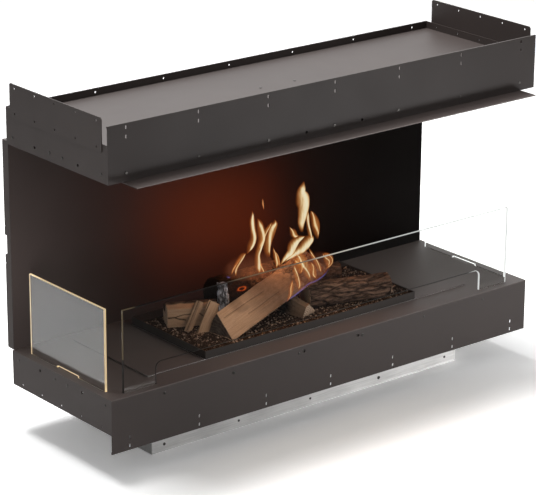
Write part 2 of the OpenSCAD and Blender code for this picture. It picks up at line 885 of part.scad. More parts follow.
// Bulkhead fitting: a hexagon against the box's rear wall and a threaded bore outside
module gas_inlet() {
    y0 = box_y1 - box_t - inlet_in;
    color(brass) placed() difference() {
        union() {
            translate([0, y0, inlet_z]) rotate([-90, 0, 0])
                cylinder(h = inlet_in + box_t + inlet_out, r = inlet_r);
            translate([0, box_y1, inlet_z]) rotate([-90, 0, 0])
                cylinder(h = 6, d = inlet_hex / cos(30), $fn = 6);
        }
        hole_y(0, inlet_z, feed_d - 4, y0, box_y1 + inlet_out);
        translate([0, box_y1 + inlet_out - inlet_depth, inlet_z]) rotate([-90, 0, 0])
            cylinder(h = inlet_depth + cut, d = inlet_bore);
    }
}

module inlet_nut() {
    y1 = box_y1 - box_t;
    color(brass) placed() difference() {
        translate([0, y1 - 6, inlet_z]) rotate([-90, 0, 0])
            cylinder(h = 6, d = inlet_hex / cos(30), $fn = 6);
        hole_y(0, inlet_z, 2 * inlet_r + 0.1, y1 - 6, y1);
    }
}

// Controller: a moulded case with a lid flange and cooling slots
module control_unit() {
    w = unit_size.x;
    d = unit_size.y;
    h = unit_size.z;
    lid_top = h + unit_lid;
    color("#2b2b2c") placed() translate([unit_x, burner_y - unit_front, box_foot]) difference() {
        union() {
            cube(unit_size);
            block([-unit_ear, 0, 0], [w + unit_ear, d, unit_foot]);
            block([unit_lid, unit_lid, h], [w - unit_lid, d - unit_lid, lid_top]);
        }
        for (i = [0 : vent_n - 1])
            block([vent_x + i * vent_pitch, vent_end, lid_top - vent_depth],
                  [vent_x + i * vent_pitch + vent_w, d - vent_end, lid_top + cut]);
        for (x = [-unit_ear / 2, w + unit_ear / 2], y = [unit_hole_in, d - unit_hole_in])
            hole_z(x, y, unit_hole_d, 0, unit_foot);
    }
}

// A ceramic pin in a hexagonal holder, standing on a cross channel beside the pipe
module pin_on_bridge(x, pin_d) {
    translate([x, burner_y + pipe_r + 18, bridge_z]) {
        cylinder(h = 5, d = pin_d + 6, $fn = 6);
        cylinder(h = -bridge_z - 3, d = pin_d);
    }
}

module igniter() {
    color("#e4dfd3") placed() pin_on_bridge(bridge_x, 8);
}

module flame_sensor() {
    color(stainless) placed() pin_on_bridge(-bridge_x, 5);
}

// Loose cover beside the tray, with a rim that drops inside the box
module cover_plate_right() {
    x0 = wall_half + ledge_t + lip_play;
    x1 = box_half - box_t - lip_play;
    y0 = box_y0 + box_t + lip_play;
    y1 = box_y1 - box_t - lip_play;
    z0 = rim_top - cover_lip;
    color(paint) placed() union() {
        block([cover_x0, tray_y0, rim_top], [cover_x1, tray_y1, rim_top + box_t]);
        difference() {
            block([x0, y0, z0], [x1, y1, rim_top + box_t]);
            block([x0 + box_t, y0 + box_t, z0 - cut], [x1 - box_t, y1 - box_t, rim_top]);
        }
    }
}

module cover_plate_left() {
    mirrored() cover_plate_right();
}

// Fire bed

module burner_tray() {
    color(paint) placed() difference() {
        union() {
            pan(tray_half, tray_y0, tray_y1, rim_top, tray_top, box_t, true);
            block([-tray_half, ledge_y, tray_floor], [tray_half, ledge_y + box_t, tray_top]);
            block([-tray_half, ledge_y, tray_top - box_t], [tray_half, tray_y1, tray_top]);
        }
        for (x = spread(21, 28), y = [-14, 0, 14])
            hole_z(x, burner_y + y, 5, rim_top, tray_floor);
    }
}

module gravel_bed() {
    color(stones) placed() block([box_t - tray_half, tray_y0 + box_t, tray_floor],
                                 [tray_half - box_t, ledge_y, gravel_z]);
}

// Logs are set out from the burner's centre line and the gravel's top
module on_gravel() {
    placed() translate([0, burner_y, gravel_z]) children();
}

// Turns a piece drawn along +z, with -x as its upper side, to run from a to b
module along(a, b) {
    run = b - a;
    translate(a) rotate([0, acos(run.z / norm(run)), atan2(run.y, run.x)]) children();
}

// A section given as distance to the side and height above the run
function upright(section) = [for (p = section) [-p.y, p.x]];

module below_gravel() {
    block([-half_w, -mid_y, -200], [half_w, mid_y, 0]);
}

// A split or sawn stick of even section
module stick(ends, section) {
    a = laid(ends)[0];
    b = laid(ends)[1];
    along(a, b) translate([0, 0, -20]) linear_extrude(norm(b - a) + 20)
        polygon(upright(slimmed(section)));
}

// A round log that lies on the gravel, seated a little on its flat
module lying_log(ends, d, taper) {
    lift = [0, 0, d / 2 - seat];
    a = laid(ends)[0] + lift;
    b = laid(ends)[1] + lift;
    difference() {
        along(a, b) cylinder(h = norm(b - a), d1 = d, d2 = d * taper, $fn = 48);
        below_gravel();
    }
}

module left_log_solid() {
    a = laid(left_log_ends)[0];
    b = laid(left_log_ends)[1];
    along(a, b) linear_extrude(norm(b - a))
        polygon(upright(slimmed(left_log_section)));
}

module plank_solid() {
    a = laid(plank_ends)[0];
    b = laid(plank_ends)[1];
    along(a, b) difference() {
        translate([0, 0, -10]) linear_extrude(norm(b - a) + 10)
            polygon(upright(slimmed(plank_section)));
        rotate([0, plank_saw_cut, 0]) translate([-150, -100, -100]) cube([300, 200, 100]);
    }
}

module back_log_solid() {
    lying_log(back_log_ends, back_log_d, 0.94);
}

module log_left() {
    color(split_wood) on_gravel() left_log_solid();
}

module log_plank() {
    color(split_wood) on_gravel() difference() {
        plank_solid();
        below_gravel();
    }
}

module log_bark() {
    color(bark) on_gravel() lying_log(bark_log_ends, bark_log_d, 0.95);
}

module log_back() {
    color(charred) on_gravel() back_log_solid();
}

module log_back_right() {
    color(charred) on_gravel() lying_log(rear_log_ends, rear_log_d, 0.95);
}

// The split log under the plank, cut where it leans on the others
module log_cross() {
    a = laid(cross_log_ends)[0];
    b = laid(cross_log_ends)[1];
    color(bark) on_gravel() difference() {
        along(a, b) linear_extrude(norm(b - a)) polygon(upright(cross_log_section));
        below_gravel();
        plank_solid();
        back_log_solid();
    }
}

module kindling_left() {
    color(split_wood) on_gravel() difference() {
        stick(kindling_left_ends, kindling_left_section);
        below_gravel();
        left_log_solid();
    }
}

module kindling_split() {
    color(split_wood) on_gravel() difference() {
        stick(kindling_split_ends, kindling_split_section);
        below_gravel();
        left_log_solid();
    }
}

module charred_stick() {
    color(charred) on_gravel() difference() {
        stick(stick_ends, stick_section);
        below_gravel();
        left_log_solid();
    }
}

// Wind screens

// A pane across x with its two feet below the hearth and an air gap between them
module pane(w, foot, gap_h, gap_r) {
    gap_half = w / 2 - foot;
    rotate([90, 0, 0]) linear_extrude(glass_t, center = true) difference() {
        translate([-w / 2, -glass_sink]) square([w, glass_h + glass_sink]);
        translate([-gap_half, -glass_sink - cut])
            square([2 * gap_half, gap_h - gap_r + glass_sink + cut]);
        translate([gap_r - gap_half, -glass_sink])
            square([2 * (gap_half - gap_r), gap_h + glass_sink]);
        for (s = [-1, 1]) translate([s * (gap_half - gap_r), gap_h - gap_r]) circle(r = gap_r);
    }
}

module glass_front() {
    color(clear) placed() translate([0, glass_in, 0])
        pane(2 * front_half, foot_w, air_gap, air_gap_r);
}

module glass_right() {
    color(clear) placed() translate([side_pane_x, side_pane_y, 0]) rotate([0, 0, 90])
        pane(side_pane_w, side_foot_w, side_air_gap, min(2, side_air_gap));
}

module glass_left() {
    mirrored() glass_right();
}

hood_fascia();
hood_side_left();
hood_side_right();
hood_back();
hood_ceiling();
hood_top();
hood_brace();
flange_plate_left();
flange_plate_right();
heat_deflector();
deflector_spacers();
deflector_screws();
deflector_nuts();
hood_screws();
back_skin();
back_insulation();
back_shell();
back_brackets_lower();
back_brackets_upper();
back_screws();
hearth_ends();
hearth_strips();
base_fascia();
base_side_left();
base_side_right();
base_back();
base_screws();
glass_channels_front();
glass_channels_side();
burner_box();
burner_rim();
burner_base();
burner_base_screws();
box_partitions();
burner_bridges();
burner_pipe();
feed_pipe();
gas_valve();
supply_pipe();
gas_inlet();
inlet_nut();
control_unit();
igniter();
flame_sensor();
cover_plate_left();
cover_plate_right();
burner_tray();
gravel_bed();
log_left();
log_plank();
log_bark();
log_cross();
log_back();
log_back_right();
kindling_left();
kindling_split();
charred_stick();
glass_front();
glass_left();
glass_right();
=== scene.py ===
# %% [markdown]
# # A gas fireplace that is open on three sides
#
# The CAD model holds the sheet metal, the panes and the plain solids of the fire bed, each where
# the real piece is. This lesson dresses it: finishes for the metal, ground edges for the glass,
# carved logs, loose gravel, and a fire. The pieces take their sizes and places from the CAD
# model, so that they fit it. Only the lamps and the flames are set out one by one.

# %% Load the frame
import json
import math

import bmesh
import bpy
import numpy as np
from mathutils import Matrix, Vector, noise


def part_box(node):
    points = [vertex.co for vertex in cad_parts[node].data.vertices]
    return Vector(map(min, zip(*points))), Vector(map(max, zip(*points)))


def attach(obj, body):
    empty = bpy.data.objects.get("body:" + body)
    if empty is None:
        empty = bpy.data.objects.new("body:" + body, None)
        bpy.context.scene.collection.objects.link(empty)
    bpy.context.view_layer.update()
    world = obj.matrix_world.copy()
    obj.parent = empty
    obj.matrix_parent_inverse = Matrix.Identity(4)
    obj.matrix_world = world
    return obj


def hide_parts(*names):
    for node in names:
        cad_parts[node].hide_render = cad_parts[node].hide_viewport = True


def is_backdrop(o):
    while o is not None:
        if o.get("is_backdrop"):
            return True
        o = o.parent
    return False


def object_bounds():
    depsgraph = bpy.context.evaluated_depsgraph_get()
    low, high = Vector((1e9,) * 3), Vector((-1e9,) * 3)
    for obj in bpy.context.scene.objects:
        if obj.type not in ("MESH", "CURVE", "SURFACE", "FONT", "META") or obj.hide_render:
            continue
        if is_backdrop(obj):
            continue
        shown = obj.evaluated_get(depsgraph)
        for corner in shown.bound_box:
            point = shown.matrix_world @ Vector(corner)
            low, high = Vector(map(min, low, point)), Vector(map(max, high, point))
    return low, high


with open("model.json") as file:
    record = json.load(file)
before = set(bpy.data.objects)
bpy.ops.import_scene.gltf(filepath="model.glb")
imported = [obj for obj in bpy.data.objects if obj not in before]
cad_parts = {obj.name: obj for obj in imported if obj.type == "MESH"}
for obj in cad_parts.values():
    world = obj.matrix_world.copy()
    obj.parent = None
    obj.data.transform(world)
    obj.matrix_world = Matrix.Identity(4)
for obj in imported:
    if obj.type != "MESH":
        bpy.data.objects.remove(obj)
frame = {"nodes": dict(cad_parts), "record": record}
nodes = frame["nodes"]
cad_low, cad_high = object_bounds()
print("pieces of the frame:", len(nodes), "box:", [round(v, 3) for v in cad_high - cad_low])

# %% [markdown]
# ## The camera
#
# A picture taken from further away with a longer lens makes the edges more nearly parallel. The
# lens, the direction and the place below make this box's corners fall where they fall in the
# picture. The slight roll is the picture's own.

# %% Camera
SENSOR_MM = 36.0
LENS_MM = 171.67
AZIMUTH, ELEVATION, ROLL = (math.radians(v) for v in (-39.12, 19.23, 0.36))
CAMERA_AT = Vector((-3.733, -4.5335, 2.427))


def camera_axes():
    """The camera's right, up and backward directions."""
    ahead = Vector((
        -math.sin(AZIMUTH) * math.cos(ELEVATION),
        math.cos(AZIMUTH) * math.cos(ELEVATION),
        -math.sin(ELEVATION),
    ))
    right = ahead.cross(Vector((0, 0, 1))).normalized()
    up = right.cross(ahead)
    rolled_right = right * math.cos(ROLL) + up * math.sin(ROLL)
    rolled_up = up * math.cos(ROLL) - right * math.sin(ROLL)
    return rolled_right, rolled_up, -ahead


scene = bpy.context.scene
lens = bpy.data.cameras.new("camera")
lens.sensor_fit = "HORIZONTAL"
lens.sensor_width = SENSOR_MM
lens.lens = LENS_MM
camera = bpy.data.objects.new("camera", lens)
scene.collection.objects.link(camera)
turn = Matrix([list(axis) for axis in camera_axes()]).transposed().to_4x4()
camera.matrix_world = Matrix.Translation(CAMERA_AT) @ turn
scene.camera = camera
scene.view_settings.view_transform = "Standard"
distance = (CAMERA_AT - (cad_low + cad_high) / 2).length
print("lens:", LENS_MM, "mm, distance:", round(distance, 2), "m")

# %% [markdown]
# ## Short calls for node trees
#
# A material is a tree of nodes. Writing each node and each wire out in full takes many lines, so
# three helpers add a node with its settings, wire it, and make a colour ramp.


# %% Node helpers
def add(tree, kind, settings=None, **sockets):
    """Adds a node. A socket is named with _ for a space, and takes a value or another socket."""
    node = tree.nodes.new(kind)
    for key, value in (settings or {}).items():
        setattr(node, key, value)
    for key, value in sockets.items():
        wire(tree, value, node.inputs[key.replace("_", " ")])
    return node


def wire(tree, value, socket):
    if isinstance(value, bpy.types.NodeSocket):
        tree.links.new(value, socket)
    elif isinstance(value, (tuple, list)) and len(value) == 3 and socket.type == "RGBA":
        socket.default_value = (*value, 1.0)
    else:
        socket.default_value = value


def ramp(tree, fac, stops, kind="LINEAR"):
    """A colour that runs through stops: (place from 0 to 1, colour or grey)."""
    node = tree.nodes.new("ShaderNodeValToRGB")
    node.color_ramp.interpolation = kind
    elements = node.color_ramp.elements
    while len(elements) < len(stops):
        elements.new(0.5)
    for element, (place, colour) in zip(elements, stops):
        element.position = place
        rgb = (colour,) * 3 if isinstance(colour, (int, float)) else colour
        element.color = (*rgb, 1.0)
    wire(tree, fac, node.inputs["Fac"])
    return node.outputs["Color"]


def math_of(tree, operation, *values):
    node = add(tree, "ShaderNodeMath", {"operation": operation})
    for value, socket in zip(values, node.inputs):
        wire(tree, value, socket)
    return node.outputs[0]


def mix_of(tree, fac, a, b, blend="MIX"):
    """Mixes two colours."""
    node = add(tree, "ShaderNodeMix", {"data_type": "RGBA", "blend_type": blend})
    wire(tree, fac, node.inputs[0])
    wire(tree, a, node.inputs[6])
    wire(tree, b, node.inputs[7])
    return node.outputs[2]


def clouds(tree, place, scale, detail=4.0, rough=0.55, stretch=(1, 1, 1)):
    """Noise from 0 to 1. The scale is in features to the metre."""
    spot = add(tree, "ShaderNodeMapping", Vector=place, Scale=tuple(s * scale for s in stretch))
    return add(tree, "ShaderNodeTexNoise", Vector=spot.outputs[0], Scale=1.0, Detail=detail,
               Roughness=rough).outputs[0]


def start_finish(name):
    """A new material, its tree, and the piece's own coordinates in metres."""
    material = bpy.data.materials.new(name)
    material.use_nodes = True
    tree = material.node_tree
    tree.nodes.clear()
    place = tree.nodes.new("ShaderNodeTexCoord").outputs["Object"]
    return material, tree, place


def end_finish(tree, shader):
    out = tree.nodes.new("ShaderNodeOutputMaterial")
    tree.links.new(shader, out.inputs["Surface"])


def blend_of(tree, share, first, second):
    """The second shader laid over the first by a share."""
    both = add(tree, "ShaderNodeMixShader", Fac=share)
    tree.links.new(first.outputs[0], both.inputs[1])
    tree.links.new(second.outputs[0], both.inputs[2])
    return both.outputs[0]


def bump_of(tree, height, strength, depth):
    return add(tree, "ShaderNodeBump", Height=height, Strength=strength,
               Distance=depth).outputs[0]


# %% [markdown]
# ## The stage
#
# The object stands on a wide white floor that runs up to the horizon. The camera sees the floor
# whiter than it is, so that it reaches full white where no shadow falls, while the shadow under
# the object stays grey. What the floor throws back at the object as light stays that of white
# paper. In reflections the floor is painted: nearly black in front of the object and grey behind
# it, a painted shade that keeps the panes and the steel from mirroring a white floor.

# %% Floor
FLOOR_HALF = 30.0
FLOOR_WHITE = 0.8
FLOOR_SEEN_WHITE = 1.25
FLOOR_GLOW = 0.12
# In reflections the floor is painted nearly black in front of the object and grey behind it:
# painted shade in what the panes and the steel mirror.
FLOOR_PAINTED_REFLECTION_FRONT, FLOOR_PAINTED_REFLECTION_BACK = 0.03, 0.58


def floor_finish():
    """White paper. Only the camera sees it whiter than it is, so its light stays plain.
    In reflections it is painted nearly black in front and grey behind: a painted shade.
    """
    material, tree, place = start_finish("white_floor")
    rays = tree.nodes.new("ShaderNodeLightPath")
    back_to_front = add(tree, "ShaderNodeSeparateXYZ", Vector=place).outputs["Y"]
    behind = ramp(tree, math_of(tree, "ADD", back_to_front, 0.5), [(0.0, 0.0), (0.22, 1.0)])
    mirrored = mix_of(tree, behind, (FLOOR_PAINTED_REFLECTION_FRONT,) * 3, (FLOOR_PAINTED_REFLECTION_BACK,) * 3)
    thrown = mix_of(tree, math_of(tree, "MAXIMUM", rays.outputs["Is Glossy Ray"],
                                  rays.outputs["Is Transmission Ray"]),
                    (FLOOR_WHITE,) * 3, mirrored)
    seen = math_of(tree, "MAXIMUM", rays.outputs["Is Camera Ray"],
                   math_of(tree, "MULTIPLY", rays.outputs["Is Transmission Ray"], behind))
    glow = add(tree, "ShaderNodeEmission", Color=(1.0, 1.0, 1.0),
               Strength=math_of(tree, "MULTIPLY", seen, FLOOR_GLOW))
    matt = add(tree, "ShaderNodeBsdfDiffuse",
               Color=mix_of(tree, seen, thrown, (FLOOR_SEEN_WHITE,) * 3))
    both = add(tree, "ShaderNodeAddShader")
    tree.links.new(matt.outputs[0], both.inputs[0])
    tree.links.new(glow.outputs[0], both.inputs[1])
    end_finish(tree, both.outputs[0])
    return material


def mesh_object(name, points, faces, material=None):
    mesh = bpy.data.meshes.new(name)
    mesh.from_pydata([tuple(p) for p in points], [], faces)
    mesh.update()
    piece = bpy.data.objects.new(name, mesh)
    scene.collection.objects.link(piece)
    if material:
        mesh.materials.append(material)
    return piece


h = FLOOR_HALF
floor = mesh_object("floor", [(-h, -h, 0), (h, -h, 0), (h, h, 0), (-h, h, 0)], [(0, 1, 2, 3)],
                    floor_finish())
floor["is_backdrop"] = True
print("floor:", 2 * h, "m wide")

# %% World
# Seen straight, the sky is white. It lights the object mostly from overhead. In a reflection it is
# brightest low down behind the object and to the right, like a white studio wall.
SKY_OVERHEAD, SKY_LOW = 0.38, 0.09
WALL_LEVEL, WALL_TOWARDS = 1.6, (0.6, 0.78, 0.65)

world = bpy.data.worlds.new("studio")
scene.world = world
world.use_nodes = True
sky = world.node_tree
sky.nodes.clear()
look = sky.nodes.new("ShaderNodeTexCoord").outputs["Generated"]
height = add(sky, "ShaderNodeSeparateXYZ", Vector=look).outputs["Z"]
dome = ramp(sky, height, [(0.0, SKY_LOW), (0.9, SKY_OVERHEAD)])
facing = add(sky, "ShaderNodeVectorMath", {"operation": "DOT_PRODUCT"})
sky.links.new(look, facing.inputs[0])
facing.inputs[1].default_value = Vector(WALL_TOWARDS).normalized()
wall = ramp(sky, facing.outputs["Value"], [(0.3, 0.0), (0.95, 1.0)], "EASE")
rays = sky.nodes.new("ShaderNodeLightPath")
mirrored = mix_of(sky, math_of(sky, "MULTIPLY", rays.outputs["Is Glossy Ray"], wall), dome,
                  (WALL_LEVEL,) * 3)
straight = math_of(sky, "MAXIMUM", rays.outputs["Is Camera Ray"],
                   rays.outputs["Is Transmission Ray"])
backdrop = add(sky, "ShaderNodeBackground",
               Color=mix_of(sky, straight, mirrored, (1.0, 1.0, 1.0)), Strength=1.0)
sky.links.new(backdrop.outputs[0],
              add(sky, "ShaderNodeOutputWorld").inputs["Surface"])

# %% [markdown]
# ## Lamps
#
# One very large soft lamp hangs high over the object, so that shadows gather under it and fade
# within a hand's breadth or two. Weak ones in front open the shade on the object. They leave out
# the floor and the chamber's back wall, so that the shadow and the wall behind the fire stay deep.
# Black sheet shows only what it is given, so the hearth under the hood, the steel box under the
# casing and the wall's left end each have a lamp of their own. Two for the floor alone thin the
# shadow's ends. Light linking tells a lamp which pieces it reaches.


# %% Studio lamps
def soft_lamp(name, at, aim, size, power, tint=(1.0, 1.0, 1.0)):
    light = bpy.data.lights.new(name, "AREA")
    light.shape = "RECTANGLE"
    light.size, light.size_y = size
    light.energy = power
    light.color = tint
    lamp = bpy.data.objects.new(name, light)
    scene.collection.objects.link(lamp)
    lamp.location = at
    lamp.rotation_euler = (Vector(aim) - Vector(at)).to_track_quat("-Z", "Y").to_euler()
    return lamp


middle = (0.0, 0.0, 0.45)
soft_lamp("overhead", (-0.3, 1.0, 5.0), middle, (3.0, 1.2), 285)


def lights_only(lamps, pieces, link_state):
    """Keeps lamps to these pieces, or away from them."""
    told = bpy.data.collections.new(lamps[0].name + "_reach")
    for k, piece in enumerate(pieces):
        told.objects.link(piece)
        told.collection_objects[k].light_linking.link_state = link_state
    for lamp in lamps:
        lamp.light_linking.receiver_collection = told


low_fill = soft_lamp("low_fill", (1.1, -1.5, 0.15), (0.1, 0.0, 0.1), (1.2, 0.3), 9)
lights_only([soft_lamp("hearth_light", (0.5, -1.7, 1.1), (0.1, 0.0, 0.2), (1.6, 0.6), 46)],
            [nodes[name] for name in ("hearth_ends", "hearth_strips", "cover_plate_left",
                                      "cover_plate_right", "heat_deflector")], "INCLUDE")
lights_only([soft_lamp("right_fill", (2.0, -1.6, 1.0), middle, (0.9, 0.9), 8),
             soft_lamp("left_fill", (-1.6, -1.7, 0.7), (-0.3, 0.1, 0.3), (0.8, 0.8), 4)],
            [floor, nodes["back_skin"], nodes["hood_fascia"]], "EXCLUDE")
lights_only([soft_lamp("box_light", (1.05, -0.9, 0.22), (0.45, -0.1, 0.08), (0.5, 0.3), 9)],
            [nodes["burner_box"], nodes["burner_base"]], "INCLUDE")
lights_only([soft_lamp("end_light", (-0.95, -0.12, 0.4), (-0.55, 0.2, 0.4), (0.2, 0.25), 19)],
            [nodes["back_skin"]], "INCLUDE")
lights_only([soft_lamp("floor_left", (-2.2, 0.3, 1.0), (-0.7, -0.3, 0.0), (1.0, 1.0), 6),
             soft_lamp("floor_right", (2.2, 0.4, 0.7), (0.7, -0.4, 0.0), (0.8, 0.8), 14)],
            [floor], "INCLUDE")

# %% [markdown]
# ## Finishes of the sheet metal
#
# The casing is powder-coated: the powder melts to a film with a fine orange-peel texture, so its
# shine is broken up. Slow clouds in the colour and in the roughness keep a large sheet from
# looking like plastic.


# %% Painted sheet
def paint_finish(name, dark, light, rough, peel=0.12, shine=0.5):
    """Powder coat: two close tones, a fine peel and slightly uneven shine."""
    material, tree, place = start_finish(name)
    slow = clouds(tree, place, 3.0, 3.0)
    fine = clouds(tree, place, 900.0, 2.0)
    tone = math_of(tree, "ADD", math_of(tree, "MULTIPLY", slow, 0.8),
                   math_of(tree, "MULTIPLY", fine, 0.2))
    shader = add(
        tree, "ShaderNodeBsdfPrincipled",
        Base_Color=ramp(tree, tone, [(0.3, dark), (0.7, light)]),
        Roughness=math_of(tree, "MULTIPLY_ADD", clouds(tree, place, 7.0, 4.0), 0.12, rough - 0.06),
        Specular_IOR_Level=shine, Normal=bump_of(tree, fine, peel, 0.0002))
    end_finish(tree, shader.outputs[0])
    return material


# %% Bare metal, board and plastic
def metal_finish(name, tone, rough, stretch, brushed=0.35, metal=1.0):
    """Bare metal with the fine lines of brushing or turning along one direction."""
    material, tree, place = start_finish(name)
    lines = clouds(tree, place, 500.0, 3.0, stretch=stretch)
    slow = clouds(tree, place, 9.0, 3.0)
    bright = tuple(min(1.0, c * 1.15) for c in tone)
    dull = tuple(c * 0.82 for c in tone)
    shader = add(
        tree, "ShaderNodeBsdfPrincipled",
        Base_Color=ramp(tree, mix_of(tree, 0.5, lines, slow), [(0.35, dull), (0.65, bright)]),
        Metallic=metal,
        Roughness=math_of(tree, "MULTIPLY_ADD", lines, 0.16, rough - 0.08),
        Normal=bump_of(tree, lines, brushed, 0.00005))
    end_finish(tree, shader.outputs[0])
    return material


def dull_finish(name, dark, light, scale, rough, grain=0.4, depth=0.0006, shine=0.5):
    """Fibre board, ceramic and moulded plastic: no metal, a small even grain."""
    material, tree, place = start_finish(name)
    grains = clouds(tree, place, scale, 5.0)
    shader = add(tree, "ShaderNodeBsdfPrincipled",
                 Base_Color=ramp(tree, grains, [(0.3, dark), (0.7, light)]),
                 Roughness=math_of(tree, "MULTIPLY_ADD", grains, 0.2, rough - 0.1),
                 Specular_IOR_Level=shine, Normal=bump_of(tree, grains, grain, depth))
    end_finish(tree, shader.outputs[0])
    return material


# %% The finishes by material slot
finishes = {
    "casing_black": paint_finish("powder_coat", (0.046, 0.035, 0.032), (0.055, 0.041, 0.037), 0.55),
    "chamber_black": paint_finish("stove_paint", (0.0055, 0.0042, 0.0038), (0.008, 0.006, 0.0055),
                                  0.6, shine=0.05),
    "dark_screw": metal_finish("blackened_steel", (0.10, 0.095, 0.09), 0.38, (1, 1, 1), 0.1),
    "stainless": metal_finish("brushed_stainless", (0.68, 0.67, 0.66), 0.4, (0.03, 1, 1), 0.35,
                              0.6),
    "insulation": dull_finish("fibre_board", (0.42, 0.38, 0.31), (0.62, 0.57, 0.49), 400, 0.9),
    "brass": metal_finish("turned_brass", (0.72, 0.50, 0.22), 0.25, (1, 1, 0.05)),
    "valve_metal": metal_finish("cast_aluminium", (0.50, 0.51, 0.52), 0.48, (1, 1, 1), 0.6),
    "controller": dull_finish("moulded_black", (0.018, 0.018, 0.018), (0.03, 0.03, 0.03), 900, 0.5),
    "ceramic": dull_finish("bare_ceramic", (0.66, 0.62, 0.54), (0.78, 0.74, 0.66), 700, 0.75),
    # The bed shows only between the stones and is darker than nearly all of them: painted shade in
    # the gaps.
    "gravel": dull_finish("gravel_bed", (0.010, 0.006, 0.005), (0.05, 0.032, 0.024), 260, 0.9,
                          1.0, 0.003, 0.02),
}

# %% [markdown]
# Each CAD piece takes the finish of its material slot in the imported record.

# %% Dress the CAD pieces
slot_of = {part["node"]: part["material_slot"] for part in frame["record"]["subparts"]}
for name, piece in nodes.items():
    if slot_of[name] in finishes:
        piece.data.materials.clear()
        piece.data.materials.append(finishes[slot_of[name]])
# The tray is of the same sheet, and years of heat have turned its coat a deeper black.
nodes["burner_tray"].data.materials[0] = paint_finish(
    "heated_coat", (0.028, 0.022, 0.019), (0.036, 0.028, 0.024), 0.6, shine=0.3)
print("finishes:", len(finishes) + 1)

# %% [markdown]
# ## The panes
#
# The wind screens are loose sheets of toughened glass. Their cut edges are ground, with a small
# slope along each side, and that edge is what the eye finds first: it is matt and catches the
# light, while the face is nearly unseen. So each pane is the CAD solid with a real slope cut along
# its sharp edges, and the edge gets a finish of its own. That finish carries a painted highlight:
# the edge glows by itself, more towards one end of the case, orange at the left and white at the
# right.


# %% Glass finishes
def glass_finish():
    """Clear glass that lets a lamp's light through, so it casts almost no shadow."""
    material, tree, _ = start_finish("clear_glass")
    glass = add(tree, "ShaderNodeBsdfPrincipled", Base_Color=(0.985, 0.995, 0.99), Roughness=0.0,
                IOR=1.48, Transmission_Weight=1.0)
    through = add(tree, "ShaderNodeBsdfTransparent", Color=(0.93, 0.95, 0.94))
    rays = tree.nodes.new("ShaderNodeLightPath")
    lets = math_of(tree, "MAXIMUM", rays.outputs["Is Shadow Ray"], rays.outputs["Is Diffuse Ray"])
    end_finish(tree, blend_of(tree, lets, glass, through))
    return material


def painted_edge_glow_finish(name, tone, clear, shine, upper_painted_glow, lower_painted_glow):
    """The matt cut edge with a painted highlight: it glows by itself, more at one end.

    The two lists give its painted glow from the left end of the case to the right, for the edges
    that stand up free and for those near the hearth.
    """
    material, tree, place = start_finish(name)
    grit = clouds(tree, place, 700.0, 3.0)
    spot = add(tree, "ShaderNodeSeparateXYZ", Vector=place)
    across = math_of(tree, "MULTIPLY_ADD", spot.outputs["X"], 1 / (2 * cad_high.x), 0.5)
    high = math_of(tree, "GREATER_THAN", spot.outputs["Z"], hearth_top + LOW_EDGE)
    # Painted highlight: the edge glows by itself, by where it lies along the case and whether it
    # stands high.
    glow = mix_of(tree, high, ramp(tree, across, lower_painted_glow), ramp(tree, across, upper_painted_glow))
    tint = ramp(tree, across, [(0.3, (0.95, 0.7, 0.36)), (0.62, (0.95, 0.97, 0.95))])
    shader = add(tree, "ShaderNodeBsdfPrincipled",
                 Base_Color=ramp(tree, grit, [(0.3, 0.75 * tone), (0.7, tone)]),
                 Roughness=0.3, IOR=1.48, Transmission_Weight=clear,
                 Specular_IOR_Level=shine,
                 Emission_Color=tint, Emission_Strength=glow,
                 Normal=bump_of(tree, grit, 0.2, 0.0002))
    end_finish(tree, shader.outputs[0])
    return material


# %% Cut the panes
ARRIS = 0.0009
LOW_EDGE = 0.08
hearth_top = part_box("hearth_strips")[1].z

clear_glass = glass_finish()
# Each edge's painted highlight from the left end of the case to the right: a list for the high
# edges, then one for the low edges.
edges = {
    "glass_front": painted_edge_glow_finish(
        "ground_edge_front", 0.03, 0.1, 0.08,
        [(0.06, 0.07), (0.07, 0.0), (0.27, 0.002), (0.3, 0.08), (0.45, 0.12), (0.5, 0.45),
         (1.0, 0.6)],
        [(0.0, 0.0), (0.86, 0.004), (0.88, 0.7)]),
    "glass_left": painted_edge_glow_finish("ground_edge_left", 0.75, 0.85, 0.5,
                                     [(0.0, 0.6)], [(0.0, 0.6)]),
    "glass_right": painted_edge_glow_finish("ground_edge_right", 0.6, 0.85, 0.5,
                                      [(0.0, 0.2)], [(0.0, 0.5)]),
}


def merged_copy(node):
    """The CAD node's solid with its doubled corners merged and its flat faces whole."""
    solid = bmesh.new()
    solid.from_mesh(nodes[node].data)
    bmesh.ops.remove_doubles(solid, verts=solid.verts, dist=1e-6)
    bmesh.ops.dissolve_limit(solid, angle_limit=math.radians(1), verts=solid.verts,
                             edges=solid.edges)
    return solid


def keep(solid, name, body, materials, replaced=()):
    """Turns a bmesh into a finished piece that rides on a body."""
    mesh = bpy.data.meshes.new(name)
    solid.to_mesh(mesh)
    solid.free()
    for material in materials:
        mesh.materials.append(material)
    piece = bpy.data.objects.new(name, mesh)
    scene.collection.objects.link(piece)
    settle(piece, body, replaced)
    return piece


def settle(piece, body, replaced=()):
    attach(piece, body)
    if replaced:
        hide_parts(*replaced)


panes = []
for node in ("glass_front", "glass_left", "glass_right"):
    low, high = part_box(node)
    size = high - low
    thin = min(range(3), key=lambda k: size[k])
    solid = merged_copy(node)
    sharp = [e for e in solid.edges
             if len(e.link_faces) == 2 and e.calc_face_angle() > math.radians(60)]
    bmesh.ops.bevel(solid, geom=sharp, offset=ARRIS, segments=1, affect="EDGES")
    for face in solid.faces:
        face.material_index = 0 if abs(face.normal[thin]) > 0.99 else 1
    panes.append(keep(solid, node + "_pane", node, (clear_glass, edges[node]), (node,)))
    print(node, "is", round(size[thin] * 1000, 1), "mm thick")

